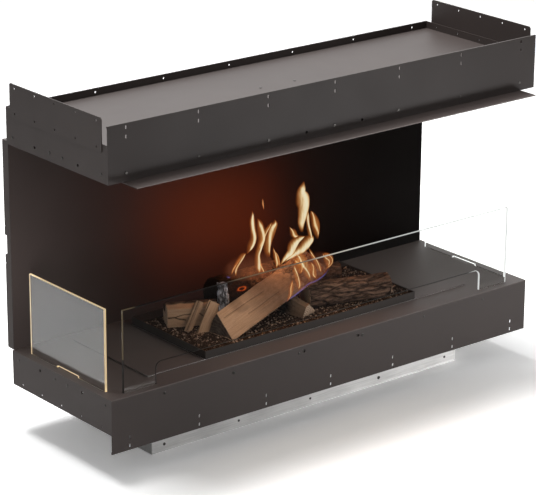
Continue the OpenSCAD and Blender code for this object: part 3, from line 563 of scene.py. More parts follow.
# The low lamp would show as a pale block in the front pane, so the panes leave it out.
lights_only([low_fill], [floor, nodes["back_skin"]] + panes, "EXCLUDE")

# %% [markdown]
# ## The logs
#
# The logs are cast in ceramic fibre and painted. Each starts as the CAD solid, which has its place,
# its cuts and its ends. A fine even skin is laid over the solid, and every point of the skin is
# then moved in or out by a rule that knows where the point lies along the log, around it and on
# the end. Bark is broken into plates by furrows that run along the log. Split wood has long fibres
# and a few wandering cracks. Char is crazed into small blocks. The same rules give each point its
# share of bark, of char and of crack, and the finish paints by those shares. The crack share is
# painted near black: partly the dark of the cracks, partly painted shade in furrows, seams and
# other hollows.


# %% Carving helpers
BED_AT = Vector((0.0, (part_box("gravel_bed")[0].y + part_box("gravel_bed")[1].y) / 2,
                 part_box("gravel_bed")[1].z))


def smooth(low, high, value):
    """0 below low, 1 above high, and an even slope between."""
    t = np.clip((value - low) / (high - low), 0.0, 1.0)
    return t * t * (3 - 2 * t)


def noise_of(points, scale, seed=0.0):
    """Noise from -1 to 1 at many points."""
    spots = points * np.array(scale) + seed * 17.31
    return np.array([noise.noise(spot) for spot in spots.tolist()])


def crazing(points, scale, seed=0.0):
    """How far a point lies from the edge of its block: 0 at the edge."""
    spots = points * np.array(scale) + seed * 17.31
    return np.array([(lambda d: d[1] - d[0])(noise.voronoi(spot)[0]) for spot in spots.tolist()])


def skin_of(node, spacing):
    """The solid's surface as an even net of points."""
    rough = bpy.data.objects.new(node + "_rough", nodes[node].data.copy())
    scene.collection.objects.link(rough)
    rough.matrix_world = nodes[node].matrix_world.copy()
    net = rough.modifiers.new("net", "REMESH")
    net.mode = "VOXEL"
    net.voxel_size = spacing
    graph = bpy.context.evaluated_depsgraph_get()
    mesh = bpy.data.meshes.new_from_object(rough.evaluated_get(graph))
    mesh.transform(rough.matrix_world)
    bpy.data.objects.remove(rough)
    return mesh


def log_space(points, foot, head):
    """Each point as its way along the log, to the side and up, and its angle and distance."""
    run = np.array(head) - np.array(foot)
    length = float(np.linalg.norm(run))
    run = run / length
    side = np.cross([0.0, 0.0, 1.0], run)
    side = side / np.linalg.norm(side)
    lift = np.cross(run, side)
    off = points - np.array(foot)
    along, across, up = off @ run, off @ side, off @ lift
    return length, along, across, up, np.arctan2(up, across), np.hypot(across, up)


def axis_of(points):
    """The centre line of a solid: from its low-x end to its high-x end."""
    centre = points.mean(axis=0)
    run = np.linalg.svd(points - centre, full_matrices=False)[2][0]
    run = run * np.sign(run[0])
    reach = (points - centre) @ run
    return centre + run * reach.min(), centre + run * reach.max()


def slash(u, v, path, width):
    """A crack drawn as a line through points of a face: 1 in its middle, 0 beside it."""
    share = np.zeros_like(u)
    for (u0, v0), (u1, v1) in zip(path, path[1:]):
        run_u, run_v = u1 - u0, v1 - v0
        t = np.clip(((u - u0) * run_u + (v - v0) * run_v) / (run_u ** 2 + run_v ** 2), 0, 1)
        away = np.hypot(u - u0 - t * run_u, v - v0 - t * run_v)
        share = np.maximum(share, 1 - smooth(0.2 * width, width, away))
    return share


def carve(node, material, rule, spacing=0.0016, foot=None, head=None):
    """Lays a net over a CAD log, moves its points by the log's rule and keeps the shares."""
    mesh = skin_of(node, spacing * (1.0))
    count = len(mesh.vertices)
    points = np.empty(count * 3)
    mesh.vertices.foreach_get("co", points)
    points = points.reshape(-1, 3)
    normals = np.empty(count * 3)
    mesh.vertex_normals.foreach_get("vector", normals)
    normals = normals.reshape(-1, 3)
    low, high = axis_of(points)
    foot, head = low if foot is None else foot, high if head is None else head
    length, along, across, up, angle, away = log_space(points, foot, head)
    run = (np.array(head) - np.array(foot)) / length
    ends = smooth(0.6, 0.85, np.abs(normals @ run))
    place = np.column_stack([along, across, up])
    depth, shares = rule(place, along / length, angle, away, normals, ends)
    shares = {**dict.fromkeys(("bark", "char", "crack", "rings", "ember"), 0 * along), **shares,
              "ends": ends}
    moved = points - normals * depth[:, None]
    moved[:, 2] = np.maximum(moved[:, 2], np.minimum(points[:, 2], BED_AT.z - 0.001))
    mesh.vertices.foreach_set("co", moved.ravel())
    for name, share in shares.items():
        layer = mesh.attributes.new(name, "FLOAT", "POINT")
        layer.data.foreach_set("value", np.clip(share, 0.0, 1.0))
    layer = mesh.attributes.new("grain_place", "FLOAT_VECTOR", "POINT")
    layer.data.foreach_set("vector", place.ravel())
    mesh.polygons.foreach_set("use_smooth", [True] * len(mesh.polygons))
    mesh.materials.clear()
    mesh.materials.append(material)
    mesh.name = node + "_carved"
    piece = bpy.data.objects.new(node + "_carved", mesh)
    scene.collection.objects.link(piece)
    settle(piece, "tray_set", (node,))
    print(node, "carved,", count, "points")
    return piece


def fibre_relief(place, seed, coarse=0.0009, fine=0.00035):
    """Split wood: slow waves, long grooves and finer threads between them."""
    return (0.0012 + 0.0012 * noise_of(place, (9, 30, 30), seed)
            + coarse * noise_of(place, (10, 150, 150), seed + 1)
            + fine * noise_of(place, (30, 520, 520), seed + 2))


def bark_relief(place, seed, depth=0.0034, cell=(16, 72, 72)):
    """Bark: long plates between furrows. Also tells how deep in a furrow each point lies."""
    warp = place + 0.006 * np.column_stack([noise_of(place, (22, 60, 60), seed + k)
                                            for k in (3, 4, 5)])
    gap = 1 - smooth(0.0, 0.2, crazing(warp, cell, seed))
    return depth * gap + 0.0009 * noise_of(place, (80, 190, 190), seed + 6), gap


def char_relief(place, seed, depth=0.0014, cell=(95, 120, 120)):
    """Char: small blocks with shrunken seams."""
    seam = 1 - smooth(0.02, 0.16, crazing(place, cell, seed))
    return depth * seam + 0.0004 * noise_of(place, (300, 300, 300), seed + 6), seam


def ring_relief(place, seed, pitch=0.0042, off=(0.0, 0.0)):
    """Growth rings on a sawn end."""
    far = np.hypot(place[:, 1] - off[0], place[:, 2] - off[1])
    far = far + 0.0022 * noise_of(place, (0, 70, 70), seed)
    return 0.5 + 0.5 * np.cos(far / pitch * 2 * math.pi)


# %% [markdown]
# The finish knows five shares for each point: bark, char, crack and shade, sawn end and ember. Bare
# wood is painted with long streaks, and each share covers the one before it, as soot covers bark.
# The crack share is near black: the dark of the cracks and a painted shade in every hollow.


# %% Log finish
def share_of(tree, name):
    return add(tree, "ShaderNodeAttribute", {"attribute_name": name}).outputs["Fac"]


def log_finish(name, wood, bark, char, end):
    """Painted ceramic wood. Each tone is a pair: the darker and the lighter one."""
    material, tree, place = start_finish(name)
    way = add(tree, "ShaderNodeAttribute", {"attribute_name": "grain_place"}).outputs["Vector"]
    streak = clouds(tree, way, 1.0, 5.0, 0.6, (14, 330, 330))
    blot = clouds(tree, way, 1.0, 4.0, 0.6, (16, 45, 45))
    speck = clouds(tree, place, 420.0, 4.0, 0.65)
    mottle = clouds(tree, place, 90.0, 5.0, 0.65)
    wood_tone = ramp(tree, math_of(tree, "ADD", math_of(tree, "MULTIPLY", streak, 0.55),
                                   math_of(tree, "MULTIPLY", blot, 0.45)),
                     [(0.28, wood[0]), (0.70, wood[1])])
    ridges = clouds(tree, way, 1.0, 5.0, 0.65, (45, 170, 170))
    bark_tone = ramp(tree, ridges, [(0.36, bark[0]), (0.64, bark[1])])
    char_tone = ramp(tree, mottle, [(0.4, char[0]), (0.66, char[1])])
    end_tone = ramp(tree, share_of(tree, "rings"), [(0.1, end[0]), (0.8, end[1])])
    tone = mix_of(tree, share_of(tree, "ends"), wood_tone, end_tone)
    tone = mix_of(tree, share_of(tree, "bark"), tone, bark_tone)
    tone = mix_of(tree, share_of(tree, "char"), tone, char_tone)
    # Near black by the crack share: in cracks, furrows and seams it is partly painted shade in the
    # hollows, and it also darkens the dark end of a log.
    tone = mix_of(tree, math_of(tree, "MULTIPLY", share_of(tree, "crack"), 0.92), tone,
                  (0.008, 0.005, 0.004))
    grit = math_of(tree, "ADD", math_of(tree, "MULTIPLY", speck, 0.5),
                   math_of(tree, "MULTIPLY", streak, 0.5))
    ember = share_of(tree, "ember")
    shader = add(tree, "ShaderNodeBsdfPrincipled", Base_Color=tone, Roughness=0.88,
                 Specular_IOR_Level=0.06, Normal=bump_of(tree, grit, 0.55, 0.0008),
                 Emission_Color=ramp(tree, ember, [(0.2, (0.55, 0.03, 0.004)),
                                                   (0.9, (1.0, 0.28, 0.04))]),
                 Emission_Strength=math_of(tree, "MULTIPLY", ember, 1.0))
    end_finish(tree, shader.outputs[0])
    return material


SPLIT_TONES = ((0.27, 0.160, 0.098), (0.46, 0.30, 0.20))
BARK_TONES = ((0.014, 0.008, 0.006), (0.165, 0.097, 0.067))
CHAR_TONES = ((0.012, 0.009, 0.009), (0.060, 0.044, 0.040))
END_TONES = ((0.34, 0.21, 0.14), (0.62, 0.46, 0.34))
split_logs = log_finish("split_wood", SPLIT_TONES, BARK_TONES, CHAR_TONES, END_TONES)
bark_logs = log_finish("bark_wood", SPLIT_TONES, BARK_TONES, CHAR_TONES, END_TONES)
burnt_logs = log_finish("burnt_wood", ((0.045, 0.020, 0.012), (0.13, 0.058, 0.034)), BARK_TONES,
                        ((0.024, 0.014, 0.010), (0.15, 0.080, 0.052)),
                        ((0.06, 0.035, 0.025), (0.15, 0.085, 0.055)))
ash_logs = log_finish("ashen_wood", CHAR_TONES, CHAR_TONES,
                      ((0.040, 0.037, 0.042), (0.42, 0.42, 0.48)), CHAR_TONES)

# %% [markdown]
# Each log's rule says where its bark, char and cracks lie. Every rule is given the same six things:
# the place in the log's own space, the share of the length, the angle around the log, the distance
# from its centre line, the outward direction, and how far the point belongs to an end. It gives
# back how deep the point goes in, and its shares. The plank is clean at its foot and burnt where
# its head reaches into the flames.


# %% Rules of the logs
def left_rule(place, s, angle, away, normals, ends):
    along, across, up = place.T
    face = smooth(0.2, 0.5, -normals @ FRONT_OF_LEFT)
    cracks = (slash(along, up, [(0.0, -0.001), (0.018, 0.0), (0.03, -0.005), (0.046, -0.008)],
                    0.0022)
              + slash(along, up, [(0.02, 0.0), (0.04, 0.005), (0.062, 0.006)], 0.0014)
              + slash(along, up, [(0.078, 0.008), (0.088, 0.0), (0.094, -0.011)], 0.0018))
    cracks = np.clip(cracks, 0, 1) * face
    rim = (smooth(-0.006, -0.001, across + 0.004 * noise_of(place, (40, 0, 0), 3.0))
           * smooth(0.0, 0.01, up))
    rough, gap = bark_relief(place, 11.0, 0.0026)
    depth = fibre_relief(place, 1.0) * (1 - rim) + rough * rim + 0.003 * cracks
    rings = ring_relief(place, 4.0, off=(0.02, -0.03))
    return depth, {"bark": rim, "char": 0.35 * rim, "crack": np.maximum(cracks, gap * rim * 0.8),
                   "rings": rings}


def plank_rule(place, s, angle, away, normals, ends):
    along, across, _ = place.T
    burnt = smooth(0.60, 0.78, s + 0.05 * noise_of(place, (20, 35, 35), 5.0))
    smudge = np.maximum(0.35 * smooth(0.25, 0.6, noise_of(place, (18, 40, 40), 6.0)),
                        0.72 * smooth(0.15, 0.55, s))
    rear = smooth(0.2, 0.6, normals @ REAR_OF_PLANK)
    crazed, seam = char_relief(place, 21.0, 0.0016, (60, 75, 75))
    rough, gap = bark_relief(place, 23.0, 0.0022)
    wood = fibre_relief(place, 7.0, 0.0007)
    depth = wood * (1 - rear) * (1 - burnt) + rough * rear + crazed * burnt + 0.0004
    cracks = slash(along, across + 0.003 * noise_of(place, (14, 0, 0), 8.0),
                   [(0.03, 0.004), (0.12, 0.002), (0.17, 0.0)], 0.0011)
    cracks = cracks + slash(along, across + 0.003 * noise_of(place, (16, 0, 0), 9.0),
                            [(0.09, -0.018), (0.20, -0.019)], 0.0009)
    cracks = np.clip(cracks, 0, 1) * (1 - burnt) * 0.6
    rings = ring_relief(place, 6.0, 0.006, (0.02, -0.05))
    return depth + 0.0012 * cracks, {
        "bark": rear * 0.8,
        "char": np.maximum(np.maximum(burnt * 0.9, smudge * (1 - rear)), 0.93 * ends),
        "crack": np.maximum(cracks, np.maximum(seam * burnt * 0.7, gap * rear * 0.6)),
        "rings": rings, "ember": 0.10 * burnt * smooth(0.7, 0.95, s) * seam}


def round_rule(seed, bark_depth, charred, wave=0.0022, dark_end_share=0.0, ember=None):
    """A round log: bark on its side, rings on its ends and char where it has burnt.

    A share of its length, counted from its foot, is painted near black. An ember is a glowing ring
    around a place on its side, given as the way along the log and the angle around it.
    """
    def rule(place, s, angle, away, normals, ends):
        rough, gap = bark_relief(place, seed, bark_depth)
        crazed, seam = char_relief(place, seed + 9, 0.0018)
        side = 1 - ends
        burnt = np.clip(charred + 0.5 * noise_of(place, (14, 30, 30), seed + 2), 0, 1)
        depth = (0.0012 + wave * noise_of(place, (12, 26, 26), seed + 1)
                 + rough * side * (1 - 0.6 * burnt) + crazed * burnt)
        rings = ring_relief(place, seed, 0.0038)
        wavy = s + 0.04 * noise_of(place, (30, 40, 40), seed)
        # The share of the length from the foot that is painted near black.
        dark_end = 0.97 * (1 - smooth(dark_end_share - 0.1, dark_end_share, wavy)) * (dark_end_share > 0)
        glow = 0 * s
        if ember:
            far = np.hypot(place[:, 0] - ember[0], 2.8 * away * (angle - ember[1]))
            far = far + 0.002 * noise_of(place, (120, 120, 120), seed + 3)
            glow = 0.6 * np.exp(-((far - 0.012) / 0.0035) ** 2) * side
        return depth + 0.0005 * rings * ends, {
            "bark": side, "char": burnt * np.maximum(side, charred),
            "crack": np.maximum(dark_end, np.maximum(gap * side * (1 - 0.5 * burnt) * 0.85,
                                                  seam * burnt * 0.7)),
            "rings": rings, "ember": glow}
    return rule


def billet_rule(place, s, angle, away, normals, ends):
    """A split billet with a pale sawn end. Its split faces are crazed and painted in the char tone:
    painted shade.
    """
    # Painted shade: the split faces get the char tone, the most towards the end under the plank,
    # and more than half of it all over.
    burnt = smooth(0.12, 0.5, 1 - s + 0.06 * noise_of(place, (40, 60, 60), 57.0))
    crazed, seam = char_relief(place, 58.0, 0.0014, (70, 90, 90))
    rings = ring_relief(place, 56.0, 0.005, (-0.024, -0.02))
    depth = 0.7 * fibre_relief(place, 55.0) + crazed * burnt + 0.0006 * rings * ends
    return depth, {"char": np.maximum(burnt, 0.55 - 0.25 * ends), "crack": seam * burnt * 0.6,
                   "rings": rings}


def kindling_rule(seed, burnt_from=2.0):
    def rule(place, s, angle, away, normals, ends):
        along, across, _ = place.T
        seams = slash(along, across + 0.002 * noise_of(place, (20, 0, 0), seed),
                      [(0.0, 0.001), (0.09, 0.0)], 0.0013) * smooth(-0.1, 0.3, normals[:, 2] * 0.5
                                                                 - normals[:, 1])
        burnt = smooth(burnt_from, burnt_from + 0.25,
                       s + 0.08 * noise_of(place, (40, 60, 60), seed))
        depth = 0.6 * fibre_relief(place, seed, 0.0008) + 0.0016 * seams
        return depth, {"char": burnt, "crack": seams * 0.85,
                       "rings": ring_relief(place, seed, 0.003)}
    return rule


def stick_rule(place, s, angle, away, normals, ends):
    """Burnt right through: thin flakes that stand up along the grain."""
    flakes = np.abs(noise_of(place, (30, 170, 170), 31.0))
    tufts = np.abs(noise_of(place, (110, 330, 330), 32.0))
    taper = 0.0025 * smooth(0.7, 1.0, s)
    depth = taper + 0.0042 * (1 - smooth(0.0, 0.35, flakes)) + 0.0016 * tufts - 0.0036
    return depth, {"char": 0 * s + 1, "crack": 1 - smooth(0.0, 0.22, flakes)}


def level_side(node):
    """The level direction that looks out of a log's rear side."""
    low, high = axis_of(np.array([tuple(nodes[node].matrix_world @ v.co)
                                  for v in nodes[node].data.vertices]))
    run = (high - low) / np.linalg.norm(high - low)
    side = np.cross([0.0, 0.0, 1.0], run)
    return side / np.linalg.norm(side)


FRONT_OF_LEFT, REAR_OF_PLANK = level_side("log_left"), level_side("log_plank")

# %% Carve the logs
carve("log_left", split_logs, left_rule)
carve("log_plank", split_logs, plank_rule)
carve("kindling_left", split_logs, kindling_rule(41.0), 0.0011)
carve("kindling_split", split_logs, kindling_rule(43.0), 0.0011)
carve("log_bark", bark_logs, round_rule(51.0, 0.0042, 0.12))
carve("log_cross", bark_logs, billet_rule, 0.0013)
carve("log_back", burnt_logs, round_rule(
    61.0, 0.0022, 0.75, dark_end_share=0.45, ember=(0.051, 2.75)), 0.0018)
carve("log_back_right", burnt_logs, round_rule(65.0, 0.0032, 0.5))
carve("charred_stick", ash_logs, stick_rule, 0.0011)

# %% [markdown]
# ## The gravel
#
# Lava gravel covers the burner, and the gas comes up between the stones. The CAD model has the
# bed's depth as a plain block, and the stones lie on it. Geometry Nodes scatter them: points are
# dealt over the bed's top so that none come too close, each takes one of eight broken stones, and
# each gets its own turn and size. What the nodes make is then kept as one plain mesh.


# %% Stones
def broken_stone(seed):
    """A small angular lump of about one unit: a ball of flat facets, squeezed and knocked."""
    lump = bmesh.new()
    bmesh.ops.create_icosphere(lump, subdivisions=1, radius=0.5)
    for point in lump.verts:
        knock = 0.24 * noise.noise(point.co * 2.3 + Vector((seed * 7.1, 0, 0)))
        point.co *= 0.92 + knock
        point.co.y *= 0.78 + 0.2 * noise.noise(Vector((seed * 3.7, 1, 2)))
        point.co.z *= 0.66
    mesh = bpy.data.meshes.new(f"stone_{seed}")
    lump.to_mesh(mesh)
    lump.free()
    return mesh


def gravel_finish():
    """Dark lava stone, with a few stones burnt redder or paler than the rest."""
    material, tree, place = start_finish("lava_gravel")
    which = add(tree, "ShaderNodeAttribute", {"attribute_name": "stone_tone"}).outputs["Fac"]
    pores = clouds(tree, place, 900.0, 4.0, 0.7)
    tone = ramp(tree, which, [(0.0, (0.030, 0.019, 0.014)), (0.35, (0.12, 0.072, 0.050)),
                              (0.7, (0.26, 0.165, 0.118)), (1.0, (0.50, 0.35, 0.27))])
    tone = mix_of(tree, ramp(tree, pores, [(0.42, 0.75), (0.5, 0.0)]), tone, (0.008, 0.006, 0.005))
    shader = add(tree, "ShaderNodeBsdfPrincipled", Base_Color=tone, Roughness=0.62,
                 Specular_IOR_Level=0.04, Normal=bump_of(tree, pores, 0.6, 0.0006))
    end_finish(tree, shader.outputs[0])
    return material


# %% Scatter the stones
STONE_GAP, STONE_SIZE, STONE_SPREAD, STONE_SEED = 0.0044, 0.0072, 0.45, 7
MOST_STONES_PER_M2 = 60000.0

stone_kinds = bpy.data.collections.new("stone_kinds")
for seed in range(8):
    stone_kinds.objects.link(bpy.data.objects.new(f"stone_{seed}", broken_stone(seed)))


def new_tree(name, inputs, output):
    """An empty node group with named inputs. Also gives each input's identifier and socket."""
    tree = bpy.data.node_groups.new(name, "GeometryNodeTree")
    ids = {}
    for label, kind in inputs.items():
        ids[label] = tree.interface.new_socket(label, in_out="INPUT",
                                               socket_type="NodeSocket" + kind).identifier
    tree.interface.new_socket(output, in_out="OUTPUT", socket_type="NodeSocketGeometry")
    return tree, ids, tree.nodes.new("NodeGroupInput").outputs


def end_tree(tree, placed, material):
    """What was placed becomes real faces with a finish, because an export drops instances."""
    real = add(tree, "GeometryNodeRealizeInstances", Geometry=placed)
    paint = add(tree, "GeometryNodeSetMaterial", Geometry=real.outputs["Geometry"],
                Material=material)
    out = tree.nodes.new("NodeGroupOutput")
    tree.links.new(paint.outputs["Geometry"], out.inputs[0])


def gravel_nodes(material):
    """Scatter on a face: inputs for the gap between stones, their size, its spread and the seed."""
    tree, ids, given = new_tree("scatter_gravel", {
        "Ground": "Geometry", "Gap": "Float", "Size": "Float", "Spread": "Float", "Seed": "Int",
    }, "Gravel")
    deal = add(tree, "GeometryNodeDistributePointsOnFaces", {"distribute_method": "POISSON"},
               Mesh=given["Ground"], Distance_Min=given["Gap"], Density_Max=MOST_STONES_PER_M2,
               Seed=given["Seed"])
    kinds = add(tree, "GeometryNodeCollectionInfo", {"transform_space": "ORIGINAL"},
                Collection=stone_kinds, Separate_Children=True, Reset_Children=True)
    turn = add(tree, "FunctionNodeRandomValue", {"data_type": "FLOAT_VECTOR"}, Seed=given["Seed"])
    turn.inputs[1].default_value = (2 * math.pi,) * 3
    grow = add(tree, "FunctionNodeRandomValue", {"data_type": "FLOAT"})
    for operation, socket in (("SUBTRACT", grow.inputs[2]), ("ADD", grow.inputs[3])):
        wire(tree, math_of(tree, "MULTIPLY", given["Size"],
                           math_of(tree, operation, 1.0, given["Spread"])), socket)
    put = add(tree, "GeometryNodeInstanceOnPoints", Points=deal.outputs["Points"],
              Instance=kinds.outputs[0], Pick_Instance=True, Rotation=turn.outputs[0],
              Scale=grow.outputs[1])
    shade = add(tree, "FunctionNodeRandomValue", {"data_type": "FLOAT"}, Seed=given["Seed"])
    tag = add(tree, "GeometryNodeStoreNamedAttribute", {"data_type": "FLOAT", "domain": "INSTANCE"},
              Geometry=put.outputs["Instances"], Name="stone_tone",
              Value=math_of(tree, "POWER", shade.outputs[1], 1.2))
    end_tree(tree, tag.outputs["Geometry"], material)
    return tree, ids


def plain_mesh(maker, name):
    """What an object's nodes make, as a plain object without them."""
    graph = bpy.context.evaluated_depsgraph_get()
    mesh = bpy.data.meshes.new_from_object(maker.evaluated_get(graph))
    bpy.data.objects.remove(maker)
    mesh.name = name
    piece = bpy.data.objects.new(name, mesh)
    scene.collection.objects.link(piece)
    return piece


def node_maker(name, points, faces, tree, ids, **values):
    """An object that carries a node tree with its inputs set."""
    maker = mesh_object(name, points, faces)
    hold = maker.modifiers.new("nodes", "NODES")
    hold.node_group = tree
    for label, value in values.items():
        hold[ids[label]] = value
    return maker


bed_low, bed_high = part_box("gravel_bed")
inset = STONE_SIZE * 0.62
ground = [(bed_low.x + inset, bed_low.y + inset), (bed_high.x - inset, bed_low.y + inset),
          (bed_high.x - inset, bed_high.y - inset), (bed_low.x + inset, bed_high.y - inset)]
gravel_tree, gravel_ids = gravel_nodes(gravel_finish())
maker = node_maker("gravel_ground", [(x, y, bed_high.z - 0.0008) for x, y in ground],
                   [(0, 1, 2, 3)], gravel_tree, gravel_ids,
                   Gap=STONE_GAP * 1.0, Size=STONE_SIZE,
                   Spread=STONE_SPREAD, Seed=STONE_SEED)
gravel_stones = plain_mesh(maker, "gravel_stones")
settle(gravel_stones, "tray_set")
print("gravel:", len(gravel_stones.data.polygons), "faces")

# %% [markdown]
# ## The screws
#
# All the screws are one kind: a low pan head with a six-lobed recess, formed cold in a die, which
# is why its rim is rounded. One head is built with its recess, and Geometry Nodes put it wherever
# the CAD model has a screw, turned to that screw's own direction. The places are read from the CAD
# screws, so a screw can't miss its hole.


# %% One screw
RECESS_LOBES, RECESS_DEPTH = 6, 0.0007


def screw_profile(head_r, head_h, shank_r, shank_l):
    """Half the outline from the rim of the recess, over the head and down the shank."""
    round_r = 0.45 * head_h
    rim = [(head_r - round_r * (1 - math.cos(math.radians(d))),
            head_h - round_r * (1 - math.sin(math.radians(d)))) for d in (90, 65, 40, 15, 0)]
    return rim + [(head_r, 0.0), (shank_r, 0.0), (shank_r, -shank_l * 0.85),
                  (shank_r * 0.7, -shank_l)]


def screw_mesh(name, head_r, head_h, shank_r, shank_l, around=24):
    """A screw whose seat is at its origin and whose head looks along Z."""
    lobes = [0.42 * head_r * (1 + 0.16 * math.cos(RECESS_LOBES * 2 * math.pi * k / around))
             for k in range(around)]
    angles = [2 * math.pi * k / around for k in range(around)]

    def ring(radii, z):
        return [(r * math.cos(a), r * math.sin(a), z) for r, a in zip(radii, angles)]

    rings = [ring([0.8 * r for r in lobes], head_h - RECESS_DEPTH), ring(lobes, head_h)]
    rings += [ring([r] * around, z) for r, z in screw_profile(head_r, head_h, shank_r, shank_l)]
    points = [p for one in rings for p in one]
    faces = [tuple(range(around))]
    for i in range(len(rings) - 1):
        for k in range(around):
            j = (k + 1) % around
            faces.append((i * around + k, (i + 1) * around + k, (i + 1) * around + j,
                          i * around + j))
    faces.append(tuple(reversed(range((len(rings) - 1) * around, len(rings) * around))))
    mesh = bpy.data.meshes.new(name)
    mesh.from_pydata(points, [], faces)
    mesh.update()
    solid = bmesh.new()
    solid.from_mesh(mesh)
    bmesh.ops.recalc_face_normals(solid, faces=solid.faces)
    solid.to_mesh(mesh)
    solid.free()
    return mesh


# %% [markdown]
# A CAD screw is a plain head on a plain shank. Its largest flat face is the head's top, so that
# face gives the direction, and the distances from it give the head, the seat and the shank.


# %% Where the screws are
def islands_of(node):
    """The separate solids of a CAD node: centre and direction of the largest face, and corners."""
    solid = merged_copy(node)
    left, found = set(solid.verts), []
    while left:
        front = [left.pop()]
        island = set(front)
        while front:
            for edge in front.pop().link_edges:
                for point in edge.verts:
                    if point in left:
                        left.discard(point)
                        island.add(point)
                        front.append(point)
        faces = {face for point in island for face in point.link_faces}
        top = max(faces, key=lambda face: face.calc_area())
        corners = np.array([tuple(point.co) for point in island])
        found.append((np.array(top.calc_center_median()), np.array(top.normal), corners))
    solid.free()
    return found


def screw_places(node):
    """Seat, direction and sizes of each screw of a CAD node."""
    places = []
    for top, out, corners in islands_of(node):
        reach = (corners - top) @ out
        levels = np.unique(np.round(reach, 6))
        seat_level = levels[-2] if len(levels) > 2 else levels[0]
        spread = np.linalg.norm((corners - top) - np.outer(reach, out), axis=1)
        head_r = float(spread.max())
        below = reach < seat_level - 1e-6
        shank_r = float(spread[below].max()) if below.any() else head_r * 0.5
        places.append((top + out * seat_level, out, head_r, -float(seat_level), shank_r,
                       float(seat_level - reach.min())))
    return places


def screw_nodes(kind, material):
    """One screw on each point, turned to the point's own direction."""
    tree, ids, given = new_tree("set_screws", {"Places": "Geometry", "Size": "Float"}, "Screws")
    out_way = add(tree, "GeometryNodeInputNamedAttribute", {"data_type": "FLOAT_VECTOR"},
                  Name="outward")
    aim = add(tree, "FunctionNodeAlignRotationToVector", {"axis": "Z"},
              Vector=out_way.outputs["Attribute"])
    twist = add(tree, "FunctionNodeRandomValue", {"data_type": "FLOAT"}, Seed=0)
    twist.inputs[3].default_value = 2 * math.pi
    about = add(tree, "ShaderNodeCombineXYZ", Z=twist.outputs[1])
    spin = add(tree, "FunctionNodeRotateRotation", {"rotation_space": "LOCAL"},
               Rotation=aim.outputs[0], Rotate_By=about.outputs[0])
    screw = add(tree, "GeometryNodeObjectInfo", {"transform_space": "ORIGINAL"}, Object=kind)
    put = add(tree, "GeometryNodeInstanceOnPoints", Points=given["Places"],
              Instance=screw.outputs["Geometry"], Rotation=spin.outputs[0], Scale=given["Size"])
    end_tree(tree, put.outputs["Instances"], material)
    return tree, ids


# %% Set the screws
SCREW_BODY = "casing"

for node in ("hood_screws", "base_screws", "back_screws", "burner_base_screws"):
    groups = {}
    for seat, out, *sizes in screw_places(node):
        groups.setdefault(tuple(round(v, 5) for v in sizes), []).append((seat, out))
    for number, (sizes, places) in enumerate(groups.items()):
        kind = bpy.data.objects.new(f"{node}_kind_{number}",
                                    screw_mesh(f"{node}_kind_{number}", *sizes))
        tree, ids = screw_nodes(kind, finishes["dark_screw"])
        maker = node_maker(f"{node}_places_{number}", [seat for seat, out in places], [], tree, ids,
                           Size=1.0)
        ways = maker.data.attributes.new("outward", "FLOAT_VECTOR", "POINT")
        ways.data.foreach_set("vector", np.array([out for seat, out in places]).ravel())
        piece = plain_mesh(maker, f"{node}_set_{number}" if number else f"{node}_set")
        settle(piece, SCREW_BODY, () if number else (node,))
        print(node, len(places), "screws, head radius", round(sizes[0] * 1000, 2), "mm")

# %% [markdown]
# ## The fire
#
# Burning gas is light, not a piece of the object, so it belongs to the stage like the floor. It
# hangs on the gravel, and goes up with the bed when the bed is lifted. A flame is a thin
# curved sheet of glowing gas. It is seen as an orange veil with a pale line or a pale heart in it
# where the sheet folds, and it is blue where gas first meets air along the logs. Each flame
# follows a line through a few points with a width at each, as a brush stroke would, and bulges a
# little towards the front.


# %% The sheet of a flame
FLAME_STEPS, FLAME_ACROSS = 48, 20
FLAME_HALO = 1.2


def stroke(points, steps):
    """A smooth line through the points, evenly stepped. Any further values come along."""
    points = np.array(points, float)
    ends = np.vstack([2 * points[0] - points[1], points, 2 * points[-1] - points[-2]])
    out = []
    for t in np.linspace(0, len(points) - 1, steps):
        k = min(int(t), len(points) - 2)
        f = t - k
        a, b, c, d = ends[k:k + 4]
        out.append(0.5 * (2 * b + (c - a) * f + (2 * a - 5 * b + 4 * c - d) * f * f
                          + (3 * b - a - 3 * c + d) * f ** 3))
    return np.array(out)


def flame_sheet(plane, bright, heart, line, bulge=0.35, spread=1.0):
    """Points, faces and shares of one flame. The line has x, z and width in mm on the bed.

    The heart is how much of the width the pale part takes.
    """
    path = stroke(line, FLAME_STEPS)
    spine, width = path[:, :2] / 1000, np.maximum(path[:, 2], 0.4) / 1000
    run = np.gradient(spine, axis=0)
    run = run / np.linalg.norm(run, axis=1)[:, None]
    points, core, warm = [], [], []
    for i in range(FLAME_STEPS):
        s = i / (FLAME_STEPS - 1)
        fold = 0.45 * (1 - heart) * math.sin(6.0 * s + 90 * spine[0][0])
        fade = min(1.0, 6 * s + 0.1) * min(1.0, 5 * (1 - s) + 0.1)
        for j in range(FLAME_ACROSS + 1):
            u = 2 * j / FLAME_ACROSS - 1
            off = 0.5 * FLAME_HALO * spread * width[i] * u
            x = spine[i][0] + run[i][1] * off
            z = spine[i][1] - run[i][0] * off
            y = plane / 1000 - bulge * width[i] * (1 - u * u)
            points.append((x, y + front_plane, z + hearth_top))
            veil = 0.46 * (1 - u * u) ** 1.1
            pale = math.exp(-((u - fold) * spread / heart) ** 2) * min(1.0, 6 * (1 - abs(u)))
            core.append(fade * max(veil, pale))
            warm.append(bright)
    row = FLAME_ACROSS + 1
    faces = [(i * row + j, i * row + j + 1, (i + 1) * row + j + 1, (i + 1) * row + j)
             for i in range(FLAME_STEPS - 1) for j in range(FLAME_ACROSS)]
    return points, faces, core, warm


